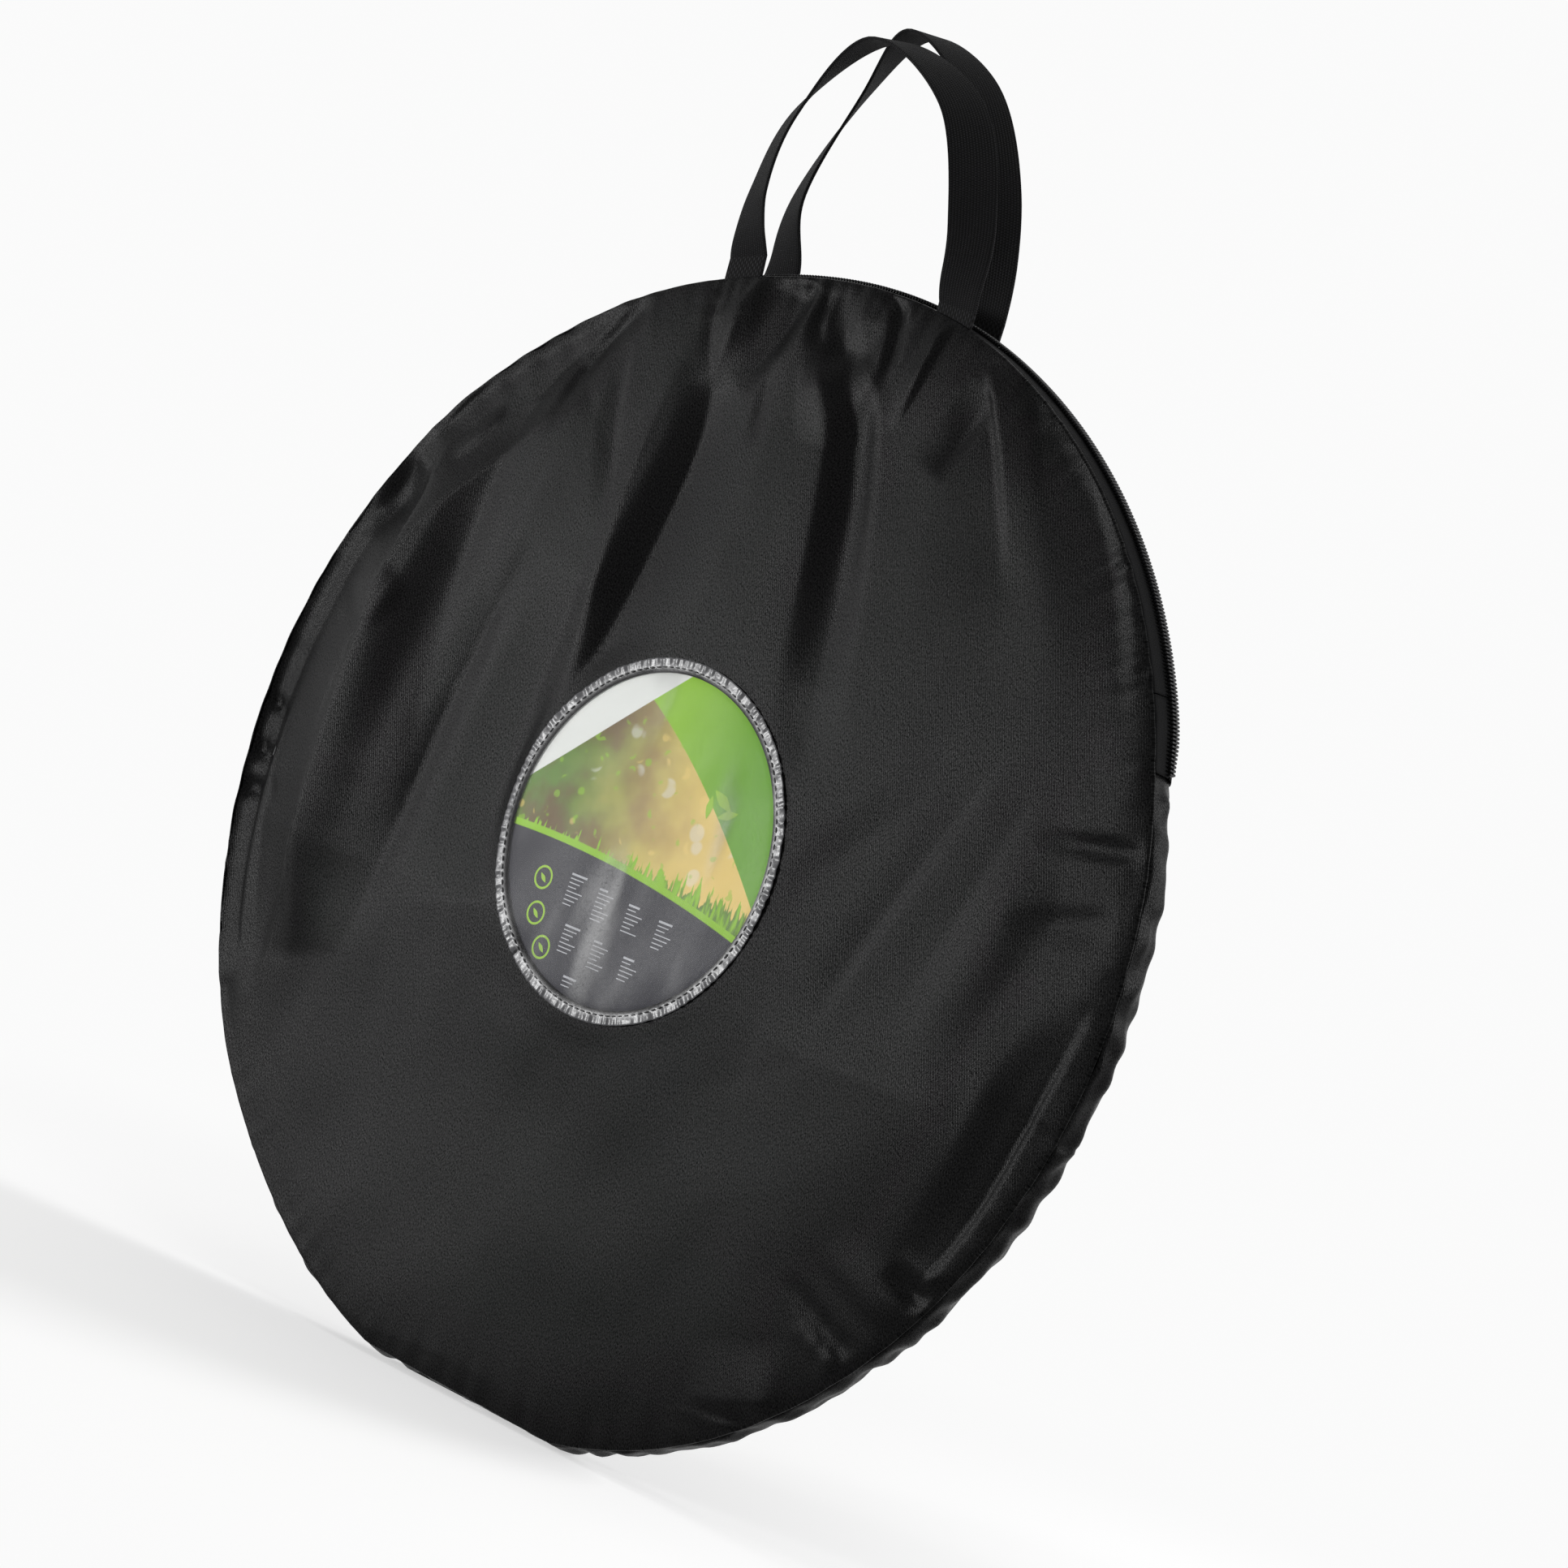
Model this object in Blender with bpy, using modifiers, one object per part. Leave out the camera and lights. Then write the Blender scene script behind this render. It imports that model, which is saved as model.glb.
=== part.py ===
"""Round zipped carry case that stands on its rim, with three folded pop-up leaf bags inside.

Metres, +Z up, front towards -Y. The case is a flat drum: two crowned fabric discs, the rear one a
little smaller, joined by a gusset, whose upper part is a zip that runs between two webbing handles. Above the zip's ends the
front disc is a flap that folds forward. Most pieces are built about the centre of the disc, with
angles counted from +X towards +Z, and stand on the floor at z = 0.
"""

import math

import bmesh
import bpy
from mathutils import Vector

MM = 0.001

# Running gap between solids that touch on the real thing
CLEARANCE = 0.3 * MM

# Folded leaf bags
BAG_COUNT = 3
BAG_RADIUS = 275 * MM
COIL_TURNS = 4
COIL_POINTS_PER_TURN = 24
WIRE = 2.0 * MM
WIRE_GAP = 0.5 * MM
BASE_PANEL = 1.0 * MM
PLEAT_DEPTH = 82 * MM
PLEAT_COUNT = 4
STRAP = 0.4 * MM
STRAP_WIDTH = 14 * MM
STRAP_HOLD = 12 * MM
TOGGLE_RADIUS = 3.2 * MM
TOGGLE_LENGTH = 24 * MM
BAG_HANDLE_WIDTH = 24 * MM
BAG_HANDLE_SPREAD = 62 * MM
BAG_HANDLE_WEBBING = 1.5 * MM

# Carry case
CASE_SLACK = 25 * MM
BASE_CUT = 8 * MM
GUSSET_WIDTH = 30 * MM
GUSSET_BULGE = 2 * MM
REAR_TAPER = 2 * MM
CROWN = 11 * MM
CROWN_ROUNDING = 0.6
FABRIC = 0.8 * MM
PANEL_STEPS = 60
BAND_STEP = math.radians(4.5)

# Window
WINDOW_RADIUS = 86 * MM
FILM_OVERLAP = 7 * MM
FILM = 0.4 * MM
CARD_OVERLAP = 9 * MM
CARD = 0.5 * MM
THREAD_RADIUS = 0.5 * MM
WINDOW_STEPS = 36

# Zip
ZIP_END_ANGLE = math.radians(22.5)
ZIP_FIXED_END = 38 * MM
TAPE = 0.6 * MM
COIL_WIDTH = 2.5 * MM
COIL_HEIGHT = 2.2 * MM
ZIP_STEP = math.radians(3.4)
SLIDER_LENGTH = 14 * MM
SLIDER_PLATE = 1.2 * MM
SLIDER_WEB = 1.1 * MM
SLIDER_FLANGE = 0.9 * MM
SLIDER_STOP_GAP = 3 * MM
BRIDGE_LENGTH = 8 * MM
BRIDGE_WIDTH = 2.4 * MM
BRIDGE_WALL = 1.0 * MM
PULLER_WIDTH = 6.4 * MM
PULLER_LENGTH = 30 * MM
PULLER_BAR = 1.2 * MM
PULLER_SLOT = 5.6 * MM

# Handles
HANDLE_SPREAD = 71 * MM
HANDLE_WIDTH = 24 * MM
WEBBING = 1.8 * MM
FRONT_HANDLE_RISE = 130 * MM
REAR_HANDLE_RISE = 145 * MM
HANDLE_PIECES = 4

# Where the loops run, as shares of half the spread and of the rise
FRONT_LOOP_SHARES = (
    (-1, 0), (-1.12, 0.29), (-1.02, 0.63), (-0.47, 0.97), (0.41, 0.8), (0.88, 0.36), (1, 0),
)
REAR_LOOP_SHARES = (
    (-1, 0), (-1.15, 0.31), (-0.87, 0.73), (-0.56, 0.98), (0.12, 0.84), (0.62, 0.49), (1, 0),
)

# Shares of the way out from a disc's middle at which its rings lie
RING_SHARES = (0, 0.3, 0.55, 0.75, 0.89, 0.965, 1)
WINDOW_RING_SHARES = (0, 0.55, 1)
ACROSS_SHARES = (-1, -0.5, 0, 0.5, 1)
GROOVE_DEPTH_SHARE = 0.7
PLEAT_EDGE_SHARE = 0.2
COIL_SHOULDER_SHARE = 0.4
COIL_CREST_SHARE = 0.3

# Modelling settings
FULL_TURN = 2 * math.pi
SHARP = math.radians(35)
WELD = 0.01 * MM
PRESS_FADE = 4
THREAD_SIDES = 5
TOGGLE_SIDES = 10
TIP_STEPS = 6
HANDLE_ARC_STEPS = 10

# Derived sizes
CASE_RADIUS = BAG_RADIUS + CASE_SLACK
REAR_RADIUS = CASE_RADIUS - REAR_TAPER
CENTRE_Z = CASE_RADIUS - BASE_CUT
HALF_GUSSET = GUSSET_WIDTH / 2
CROWN_TOP = HALF_GUSSET + CROWN
BAND_HALF = HALF_GUSSET - FABRIC - CLEARANCE
BAG_CENTRE_Z = FABRIC + CLEARANCE + BAG_RADIUS
BAG_PITCH = (2 * BAND_HALF + CLEARANCE) / BAG_COUNT
BAG_THICKNESS = BAG_PITCH - CLEARANCE
CORE_HALF = BAG_THICKNESS / 2 - STRAP - CLEARANCE
WIRE_STEP = WIRE + WIRE_GAP
WALL_RADIUS = BAG_RADIUS - COIL_TURNS * WIRE_STEP - WIRE - CLEARANCE
TAPE_OUTER = CASE_RADIUS - CLEARANCE
COIL_INNER = TAPE_OUTER + CLEARANCE
COIL_OUTER = COIL_INNER + COIL_HEIGHT
ZIP_GROOVE = SLIDER_WEB / 2 + CLEARANCE
COIL_EDGE = ZIP_GROOVE + COIL_WIDTH
TAPE_BEND = COIL_EDGE + SLIDER_FLANGE + 2 * CLEARANCE
FLAP_END_ANGLE = ZIP_END_ANGLE + ZIP_FIXED_END / CASE_RADIUS
HINGE_HEIGHT = CASE_RADIUS * math.sin(FLAP_END_ANGLE)
CLEARANCE_ANGLE = CLEARANCE / CASE_RADIUS
SLIDER_REST_ANGLE = math.pi - ZIP_END_ANGLE - (SLIDER_LENGTH / 2 + SLIDER_STOP_GAP) / CASE_RADIUS
SLIDER_TOP = COIL_OUTER + CLEARANCE + SLIDER_PLATE
BAR_REACH = PULLER_BAR / math.sqrt(2)
PULLER_PIVOT_RADIUS = SLIDER_TOP + CLEARANCE + BAR_REACH
HANDLE_DEPTH = HALF_GUSSET + CLEARANCE + WEBBING / 2


def clear_scene():
    """Empties the scene."""
    for item in list(bpy.data.objects):
        bpy.data.objects.remove(item, do_unlink=True)


def collection(name):
    """A collection under the scene's own."""
    made = bpy.data.collections.new(name)
    bpy.context.scene.collection.children.link(made)
    return made


def finish(name, colour, roughness, metallic=0.0, alpha=1.0):
    """A Principled material with one colour."""
    made = bpy.data.materials.new(name)
    made.use_nodes = True
    shader = made.node_tree.nodes["Principled BSDF"]
    shader.inputs["Base Color"].default_value = (*colour, 1)
    shader.inputs["Roughness"].default_value = roughness
    shader.inputs["Metallic"].default_value = metallic
    shader.inputs["Alpha"].default_value = alpha
    return made


def place(name, data, look, home, location=(0, 0, 0)):
    """Adds an object with this mesh or curve to a collection."""
    made = bpy.data.objects.new(name, data)
    made.location = location
    if look:
        data.materials.append(look)
    home.objects.link(made)
    return made


def mesh_of(bm, name):
    """Turns a bmesh into a mesh that shades smooth except at its sharp edges."""
    made = bpy.data.meshes.new(name)
    bm.to_mesh(made)
    bm.free()
    made.shade_smooth()
    made.set_sharp_from_angle(angle=SHARP)
    return made


def on_disc(radius, angle, depth):
    """A point about the disc's axis."""
    return Vector((radius * math.cos(angle), depth, radius * math.sin(angle)))


def crown_depth(radius, rim=CASE_RADIUS):
    """How far a panel's outer face lies from the middle plane at this distance from its centre."""
    share = min(radius / rim, 1)
    return HALF_GUSSET + CROWN * (1 - share**2) ** CROWN_ROUNDING


def press_flat(bm, rim=CASE_RADIUS):
    """Flattens the rim where the case stands, and fades that out towards the middle."""
    for vert in bm.verts:
        radius = math.hypot(vert.co.x, vert.co.z)
        full = max(radius, rim)
        if -vert.co.z * full <= CENTRE_Z * radius:
            continue
        reach = CENTRE_Z * radius / -vert.co.z
        fade = min(radius / rim, 1) ** PRESS_FADE
        shrink = 1 - fade * (1 - reach / full)
        vert.co.x *= shrink
        vert.co.z *= shrink


def spun_sheet(profile, start, sweep, steps):
    """An open sheet: a line of (radius, depth) points turned about the disc's axis."""
    bm = bmesh.new()
    verts = [bm.verts.new(on_disc(radius, start, depth)) for radius, depth in profile]
    edges = [bm.edges.new(pair) for pair in zip(verts, verts[1:])]
    bmesh.ops.spin(bm, geom=verts + edges, axis=(0, -1, 0), angle=sweep, steps=steps)
    bmesh.ops.remove_doubles(bm, verts=bm.verts, dist=WELD)
    bmesh.ops.recalc_face_normals(bm, faces=bm.faces)
    return bm


def face_outwards(bm, outward):
    """Turns an open sheet so that its faces point the way that outward gives for their centre."""
    leaning = sum(face.normal.dot(outward(face.calc_center_median())) for face in bm.faces)
    if leaning < 0:
        bmesh.ops.reverse_faces(bm, faces=bm.faces)


def thickened(item, thickness):
    """Gives an open sheet its thickness, on its inner side."""
    shell = item.modifiers.new("thickness", "SOLIDIFY")
    shell.thickness = thickness
    shell.offset = -1
    return item


def crowned_skin(name, look, home, side, radii, lift, thickness, steps, keep=None):
    """A skin that follows a panel's crown; keep is (height, sign) where the disc is cut across."""
    rim = REAR_RADIUS if side > 0 else CASE_RADIUS
    profile = [(radius, side * (crown_depth(radius, rim) + lift)) for radius in radii]
    bm = spun_sheet(profile, 0, FULL_TURN, steps)
    face_outwards(bm, lambda centre: Vector((0, side, 0)))
    if keep:
        height, sign = keep
        everything = bm.verts[:] + bm.edges[:] + bm.faces[:]
        bmesh.ops.bisect_plane(
            bm, geom=everything, plane_co=(0, 0, height), plane_no=(0, 0, -sign), clear_outer=True
        )
    press_flat(bm, rim)
    return thickened(place(name, mesh_of(bm, name), look, home, (0, 0, CENTRE_Z)), thickness)


def ring_radii(inner, outer, shares=None):
    """Distances from the centre at which a skin has its rings."""
    return [inner + (outer - inner) * share for share in shares or RING_SHARES]


def arc_solid(name, look, home, profile, start, end, steps, centre):
    """A solid swept by a closed (radius, depth) outline about an axis along Y."""
    bm = bmesh.new()
    face = bm.faces.new([bm.verts.new(on_disc(radius, start, depth)) for radius, depth in profile])
    whole = abs(end - start - FULL_TURN) < CLEARANCE_ANGLE
    outline = face.verts[:] + face.edges[:]
    swept = outline if whole else outline + [face]
    if whole:
        bmesh.ops.delete(bm, geom=[face], context="FACES_ONLY")
    bmesh.ops.spin(bm, geom=swept, axis=(0, -1, 0), angle=end - start, steps=steps)
    bmesh.ops.remove_doubles(bm, verts=bm.verts, dist=WELD)
    bmesh.ops.holes_fill(bm, edges=bm.edges)
    bmesh.ops.recalc_face_normals(bm, faces=bm.faces)
    return place(name, mesh_of(bm, name), look, home, centre)


def extruded(name, look, home, outline, along, location=(0, 0, 0)):
    """A prism: a flat outline of points pushed along a vector."""
    bm = bmesh.new()
    face = bm.faces.new([bm.verts.new(point) for point in outline])
    made = bmesh.ops.extrude_face_region(bm, geom=[face], use_keep_orig=True)
    moved = [item for item in made["geom"] if isinstance(item, bmesh.types.BMVert)]
    bmesh.ops.translate(bm, verts=moved, vec=along)
    bmesh.ops.recalc_face_normals(bm, faces=bm.faces)
    return place(name, mesh_of(bm, name), look, home, location)


def lofted(name, look, home, sections, location):
    """A solid through a row of four-cornered sections."""
    bm = bmesh.new()
    rings = [[bm.verts.new(corner) for corner in section] for section in sections]
    for ring, following in zip(rings, rings[1:]):
        for corner in range(len(ring)):
            after = (corner + 1) % len(ring)
            bm.faces.new((ring[corner], ring[after], following[after], following[corner]))
    bm.faces.new(rings[0])
    bm.faces.new(rings[-1])
    bmesh.ops.recalc_face_normals(bm, faces=bm.faces)
    return place(name, mesh_of(bm, name), look, home, location)


def smooth_route(points, pieces):
    """Points of a Catmull-Rom curve through these, with each stretch cut into pieces."""
    before = points[0] * 2 - points[1]
    beyond = points[-1] * 2 - points[-2]
    padded = [before, *points, beyond]
    route = []
    for index in range(1, len(padded) - 2):
        a, b, c, d = padded[index - 1 : index + 3]
        for piece in range(pieces):
            t = piece / pieces
            pull = (c - a) * t + (a * 2 - b * 5 + c * 4 - d) * t**2 + (b * 3 - a - c * 3 + d) * t**3
            route.append(b + pull / 2)
    route.append(points[-1])
    return route


def panels(home, cloth):
    """The two round panels, the front one open at the window and cut across; gives the flap."""
    rear = ring_radii(0, REAR_RADIUS)
    front = ring_radii(WINDOW_RADIUS, CASE_RADIUS)
    crowned_skin("rear_panel", cloth, home, 1, rear, 0, FABRIC, PANEL_STEPS)
    below = (HINGE_HEIGHT - CLEARANCE, -1)
    above = (HINGE_HEIGHT + CLEARANCE, 1)
    crowned_skin("front_panel", cloth, home, -1, front, 0, FABRIC, PANEL_STEPS, below)
    return crowned_skin("mouth_flap", cloth, home, -1, front, 0, FABRIC, PANEL_STEPS, above)


def window(home, film, thread, card):
    """Clear film sewn over the round opening, its thread, and the card behind it."""
    film_lift = CLEARANCE + FILM
    film_radii = ring_radii(0, WINDOW_RADIUS + FILM_OVERLAP, WINDOW_RING_SHARES)
    crowned_skin("window_film", film, home, -1, film_radii, film_lift, FILM, WINDOW_STEPS)
    card_lift = -FABRIC - CLEARANCE
    card_radii = ring_radii(0, WINDOW_RADIUS + CARD_OVERLAP, WINDOW_RING_SHARES)
    crowned_skin("insert_card", card, home, -1, card_radii, card_lift, CARD, WINDOW_STEPS)
    ring = WINDOW_RADIUS + FILM_OVERLAP / 2
    depth = crown_depth(ring) + film_lift + CLEARANCE + THREAD_RADIUS
    circle = [(math.cos(turn), math.sin(turn)) for turn in even_turns(THREAD_SIDES)]
    section = [(ring + THREAD_RADIUS * across, THREAD_RADIUS * up - depth) for across, up in circle]
    centre = (0, 0, CENTRE_Z)
    arc_solid("window_stitching", thread, home, section, 0, FULL_TURN, WINDOW_STEPS, centre)


def even_turns(count):
    """Angles that divide a full turn evenly."""
    return [FULL_TURN * index / count for index in range(count)]


def band_radius(across):
    """How far out the rim's band lies at a share of its half width, behind the middle if above 0."""
    return CASE_RADIUS + GUSSET_BULGE * (1 - across**2) - REAR_TAPER * max(across, 0) ** 2


def gusset(home, cloth):
    """The band round the lower rim, a little bulged across and pressed flat underneath."""
    profile = [(band_radius(across), BAND_HALF * across) for across in ACROSS_SHARES]
    start = math.pi - ZIP_END_ANGLE + CLEARANCE_ANGLE
    sweep = math.pi + 2 * (ZIP_END_ANGLE - CLEARANCE_ANGLE)
    bm = spun_sheet(profile, start, sweep, round(sweep / BAND_STEP))
    face_outwards(bm, lambda centre: Vector((centre.x, 0, centre.z)))
    press_flat(bm, REAR_RADIUS)
    item = place("gusset_band", mesh_of(bm, "gusset_band"), cloth, home, (0, 0, CENTRE_Z))
    thickened(item, FABRIC)


def tape_outline(side):
    """The zip tape's section as (radius, depth) points; the rear one slopes in to its panel."""
    slope = [(0, ZIP_GROOVE), (0, TAPE_BEND), (REAR_TAPER if side > 0 else 0, BAND_HALF)]
    inner = [(TAPE_OUTER - TAPE - drop, side * depth) for drop, depth in slope]
    outer = [(TAPE_OUTER - drop, side * depth) for drop, depth in slope]
    return inner + outer[::-1]


def coil_outline(side):
    """The zip coil's section as (radius, depth) points, rounded on its outside."""
    shoulder = COIL_OUTER - COIL_WIDTH * COIL_SHOULDER_SHARE
    crest = COIL_WIDTH * COIL_CREST_SHARE
    near, far = ZIP_GROOVE, COIL_EDGE
    points = (
        (COIL_INNER, near),
        (COIL_INNER, far),
        (shoulder, far),
        (COIL_OUTER, far - crest),
        (COIL_OUTER, near + crest),
        (shoulder, near),
    )
    return [(radius, side * depth) for radius, depth in points]


def joined_outline(side):
    """Tape and coil as one section, for the sewn-down ends of the front tape."""
    inner = TAPE_OUTER - TAPE
    points = (
        (inner, ZIP_GROOVE),
        (inner, BAND_HALF),
        (TAPE_OUTER, BAND_HALF),
        (TAPE_OUTER, COIL_EDGE),
        (COIL_OUTER, COIL_EDGE),
        (COIL_OUTER, ZIP_GROOVE),
    )
    return [(radius, side * depth) for radius, depth in points]


def zip_arc(name, look, home, outline, start, end):
    """A length of zip round the rim, from one angle to another."""
    steps = max(round((end - start) / ZIP_STEP), 2)
    return arc_solid(name, look, home, outline, start, end, steps, (0, 0, CENTRE_Z))


def zip_chain(home, tape, coil):
    """Both tapes and coils; gives the front ones, which end where the flap does."""
    left = math.pi - ZIP_END_ANGLE
    flap_left = math.pi - FLAP_END_ANGLE
    zip_arc("zip_tape_rear", tape, home, tape_outline(1), ZIP_END_ANGLE, left)
    zip_arc("zip_coil_rear", coil, home, coil_outline(1), ZIP_END_ANGLE, left)
    right_cut = FLAP_END_ANGLE + CLEARANCE_ANGLE
    left_cut = flap_left - CLEARANCE_ANGLE
    front = [
        zip_arc("zip_tape_front", tape, home, tape_outline(-1), right_cut, left_cut),
        zip_arc("zip_coil_front", coil, home, coil_outline(-1), right_cut, left_cut),
    ]
    right_end = FLAP_END_ANGLE - CLEARANCE_ANGLE
    left_end = flap_left + CLEARANCE_ANGLE
    zip_arc("zip_end_right", tape, home, joined_outline(-1), ZIP_END_ANGLE, right_end)
    zip_arc("zip_end_left", tape, home, joined_outline(-1), left_end, left)
    return front


def hang_on_hinge(pieces, home):
    """Parents the pieces that open with the mouth to an empty on the fold across the front panel."""
    hinge = bpy.data.objects.new("mouth_hinge", None)
    hinge.location = (0, -CROWN_TOP, CENTRE_Z + HINGE_HEIGHT)
    home.objects.link(hinge)
    for piece in pieces:
        piece.parent = hinge
        piece.location -= hinge.location


def slider(home, cutters, metal):
    """The slider, modelled at the top of the disc and turned to where it rests at the left end."""
    inner_top = TAPE_OUTER - TAPE - 2 * CLEARANCE
    inner_bottom = inner_top - SLIDER_PLATE
    under = SLIDER_TOP - SLIDER_PLATE
    flange = COIL_EDGE + CLEARANCE
    edge = flange + SLIDER_FLANGE
    web = SLIDER_WEB / 2
    half = [
        (edge, SLIDER_TOP),
        (edge, COIL_INNER),
        (flange, COIL_INNER),
        (flange, under),
        (web, under),
        (web, inner_top),
        (flange, inner_top),
        (flange, inner_bottom),
    ]
    outline = half + [(-depth, height) for depth, height in reversed(half)]
    start = -SLIDER_LENGTH / 2
    section = [(start, depth, height) for depth, height in outline]
    centre = (0, 0, CENTRE_Z)
    body = extruded("zip_slider", metal, home, section, (SLIDER_LENGTH, 0, 0), centre)
    foot = SLIDER_TOP - CLEARANCE
    roof = PULLER_PIVOT_RADIUS + BAR_REACH + CLEARANCE
    out = BRIDGE_LENGTH / 2
    inside = out - BRIDGE_WALL
    arch = [(-out, foot), (-out, roof + BRIDGE_WALL), (out, roof + BRIDGE_WALL), (out, foot)]
    arch += [(inside, foot), (inside, roof), (-inside, roof), (-inside, foot)]
    points = [(along, -BRIDGE_WIDTH / 2, height) for along, height in arch]
    bridge = extruded("slider_bridge", metal, cutters, points, (0, BRIDGE_WIDTH, 0))
    hide(bridge)
    bridge.parent = body
    body.rotation_euler = (0, math.pi / 2 - SLIDER_REST_ANGLE, 0)
    join = body.modifiers.new("bridge", "BOOLEAN")
    join.operation = "UNION"
    join.object = bridge
    return body


def hide(item):
    """Keeps a helper out of the render."""
    item.hide_render = True
    item.display_type = "WIRE"


def puller(home, metal, carrier):
    """The flat pull tab, whose crossbar turns inside the slider's bridge."""
    bar = PULLER_BAR / 2
    half = PULLER_WIDTH / 2
    slot = BRIDGE_WIDTH / 2 + 2 * CLEARANCE
    tip = PULLER_LENGTH - half
    curve = bpy.data.curves.new("zip_puller", "CURVE")
    curve.dimensions = "2D"
    curve.fill_mode = "BOTH"
    curve.extrude = bar
    turns = [math.pi / 2 + math.pi * index / TIP_STEPS for index in range(TIP_STEPS + 1)]
    rounded = [(-tip + half * math.cos(turn), half * math.sin(turn)) for turn in turns]
    outlines = (
        [(bar, -half), (bar, half), *rounded],
        [(-bar, slot), (-bar, -slot), (-bar - PULLER_SLOT, -slot), (-bar - PULLER_SLOT, slot)],
    )
    for outline in outlines:
        spline = curve.splines.new("POLY")
        spline.points.add(len(outline) - 1)
        for point, (along, depth) in zip(spline.points, outline):
            point.co = (along, depth, 0, 1)
        spline.use_cyclic_u = True
    item = place("zip_puller", curve, metal, home, (0, 0, PULLER_PIVOT_RADIUS))
    item.parent = carrier


def handle(name, look, home, side, loop_shares, rise):
    """A webbing loop that stands up from its two sewn ends and turns half round on its way."""
    rim = REAR_RADIUS if side > 0 else CASE_RADIUS
    slope = math.asin(HANDLE_SPREAD / rim)
    bottom = HANDLE_WIDTH / 2 * math.sin(slope)
    axis_height = rim * math.cos(slope) + CLEARANCE - bottom
    knots = [Vector((HANDLE_SPREAD * across, 0, bottom + rise * up)) for across, up in loop_shares]
    route = smooth_route(knots, HANDLE_PIECES)
    last = len(route) - 1
    sections = []
    for index, point in enumerate(route):
        along = (route[min(index + 1, last)] - route[max(index - 1, 0)]).normalized()
        turn = -math.pi * index / last
        across = Vector((math.cos(turn), math.sin(turn), 0))
        across = (across - along * along.dot(across)).normalized()
        if index == 0:
            across = Vector((math.cos(slope), 0, math.sin(slope)))
        elif index == last:
            across = Vector((-math.cos(slope), 0, math.sin(slope)))
        reach = across * HANDLE_WIDTH / 2
        face = along.cross(across).normalized() * WEBBING / 2
        corners = (reach + face, face - reach, -reach - face, reach - face)
        sections.append([point + corner for corner in corners])
    location = (0, side * HANDLE_DEPTH, CENTRE_Z + axis_height)
    return lofted(name, look, home, sections, location)


def coil_points():
    """The folded spring's wire: a flat cone of turns, each a little inside the one behind it."""
    steps = COIL_TURNS * COIL_POINTS_PER_TURN
    outer = BAG_RADIUS - WIRE / 2
    depth = CORE_HALF - WIRE / 2
    points = []
    for step in range(steps + 1):
        turns = step / COIL_POINTS_PER_TURN
        angle = -math.pi / 2 + FULL_TURN * turns
        along = depth * (1 - 2 * turns / COIL_TURNS)
        points.append(on_disc(outer - WIRE_STEP * turns, angle, along))
    return points


def least_gap(points):
    """The least space between the wire and itself one turn on."""
    pairs = zip(points, points[COIL_POINTS_PER_TURN:])
    return min((after - point).length for point, after in pairs) - WIRE


def spring_coil(name, look, home, location):
    """One unbroken wire in its flat, folded turns."""
    points = coil_points()
    curve = bpy.data.curves.new(name, "CURVE")
    curve.dimensions = "3D"
    curve.bevel_depth = WIRE / 2
    curve.bevel_resolution = 1
    curve.use_fill_caps = True
    spline = curve.splines.new("POLY")
    spline.points.add(len(points) - 1)
    for target, point in zip(spline.points, points):
        target.co = (*point, 1)
    place(name, curve, look, home, location)
    print(f"{name}: least gap between turns {least_gap(points) / MM:.2f} mm")


def wall_outline():
    """Section of the folded wall: pleats that open towards the middle of the bag."""
    inner = WALL_RADIUS - PLEAT_DEPTH
    groove = inner + PLEAT_DEPTH * GROOVE_DEPTH_SHARE
    front = -CORE_HALF
    back = CORE_HALF - BASE_PANEL - CLEARANCE
    pleat = (back - front) / PLEAT_COUNT
    outline = [(WALL_RADIUS, front), (WALL_RADIUS, back)]
    for index in reversed(range(PLEAT_COUNT)):
        near = front + pleat * index
        outline.append((inner, near + pleat * (1 - PLEAT_EDGE_SHARE)))
        outline.append((inner, near + pleat * PLEAT_EDGE_SHARE))
        if index:
            outline.append((groove, near))
    return outline


def bag_handles(prefix, look, home, location):
    """The two carrying handles, folded flat into the hollow inside the pleats."""
    hole = (WALL_RADIUS - PLEAT_DEPTH) * math.cos(math.pi / COIL_POINTS_PER_TURN) - CLEARANCE
    far = BAG_HANDLE_SPREAD + BAG_HANDLE_WIDTH / 2
    near = BAG_HANDLE_SPREAD - BAG_HANDLE_WIDTH / 2
    height = math.sqrt(hole**2 - far**2)
    depths = (-CORE_HALF, -CORE_HALF + BAG_HANDLE_WEBBING)
    section = [(near, depths[0]), (far, depths[0]), (far, depths[1]), (near, depths[1])]
    x, y, z = location
    top = (x, y, z + height)
    bottom = (x, y, z - height)
    arc_solid(f"{prefix}_handle_top", look, home, section, math.pi, FULL_TURN, HANDLE_ARC_STEPS, top)
    arc_solid(f"{prefix}_handle_bottom", look, home, section, 0, math.pi, HANDLE_ARC_STEPS, bottom)


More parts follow.
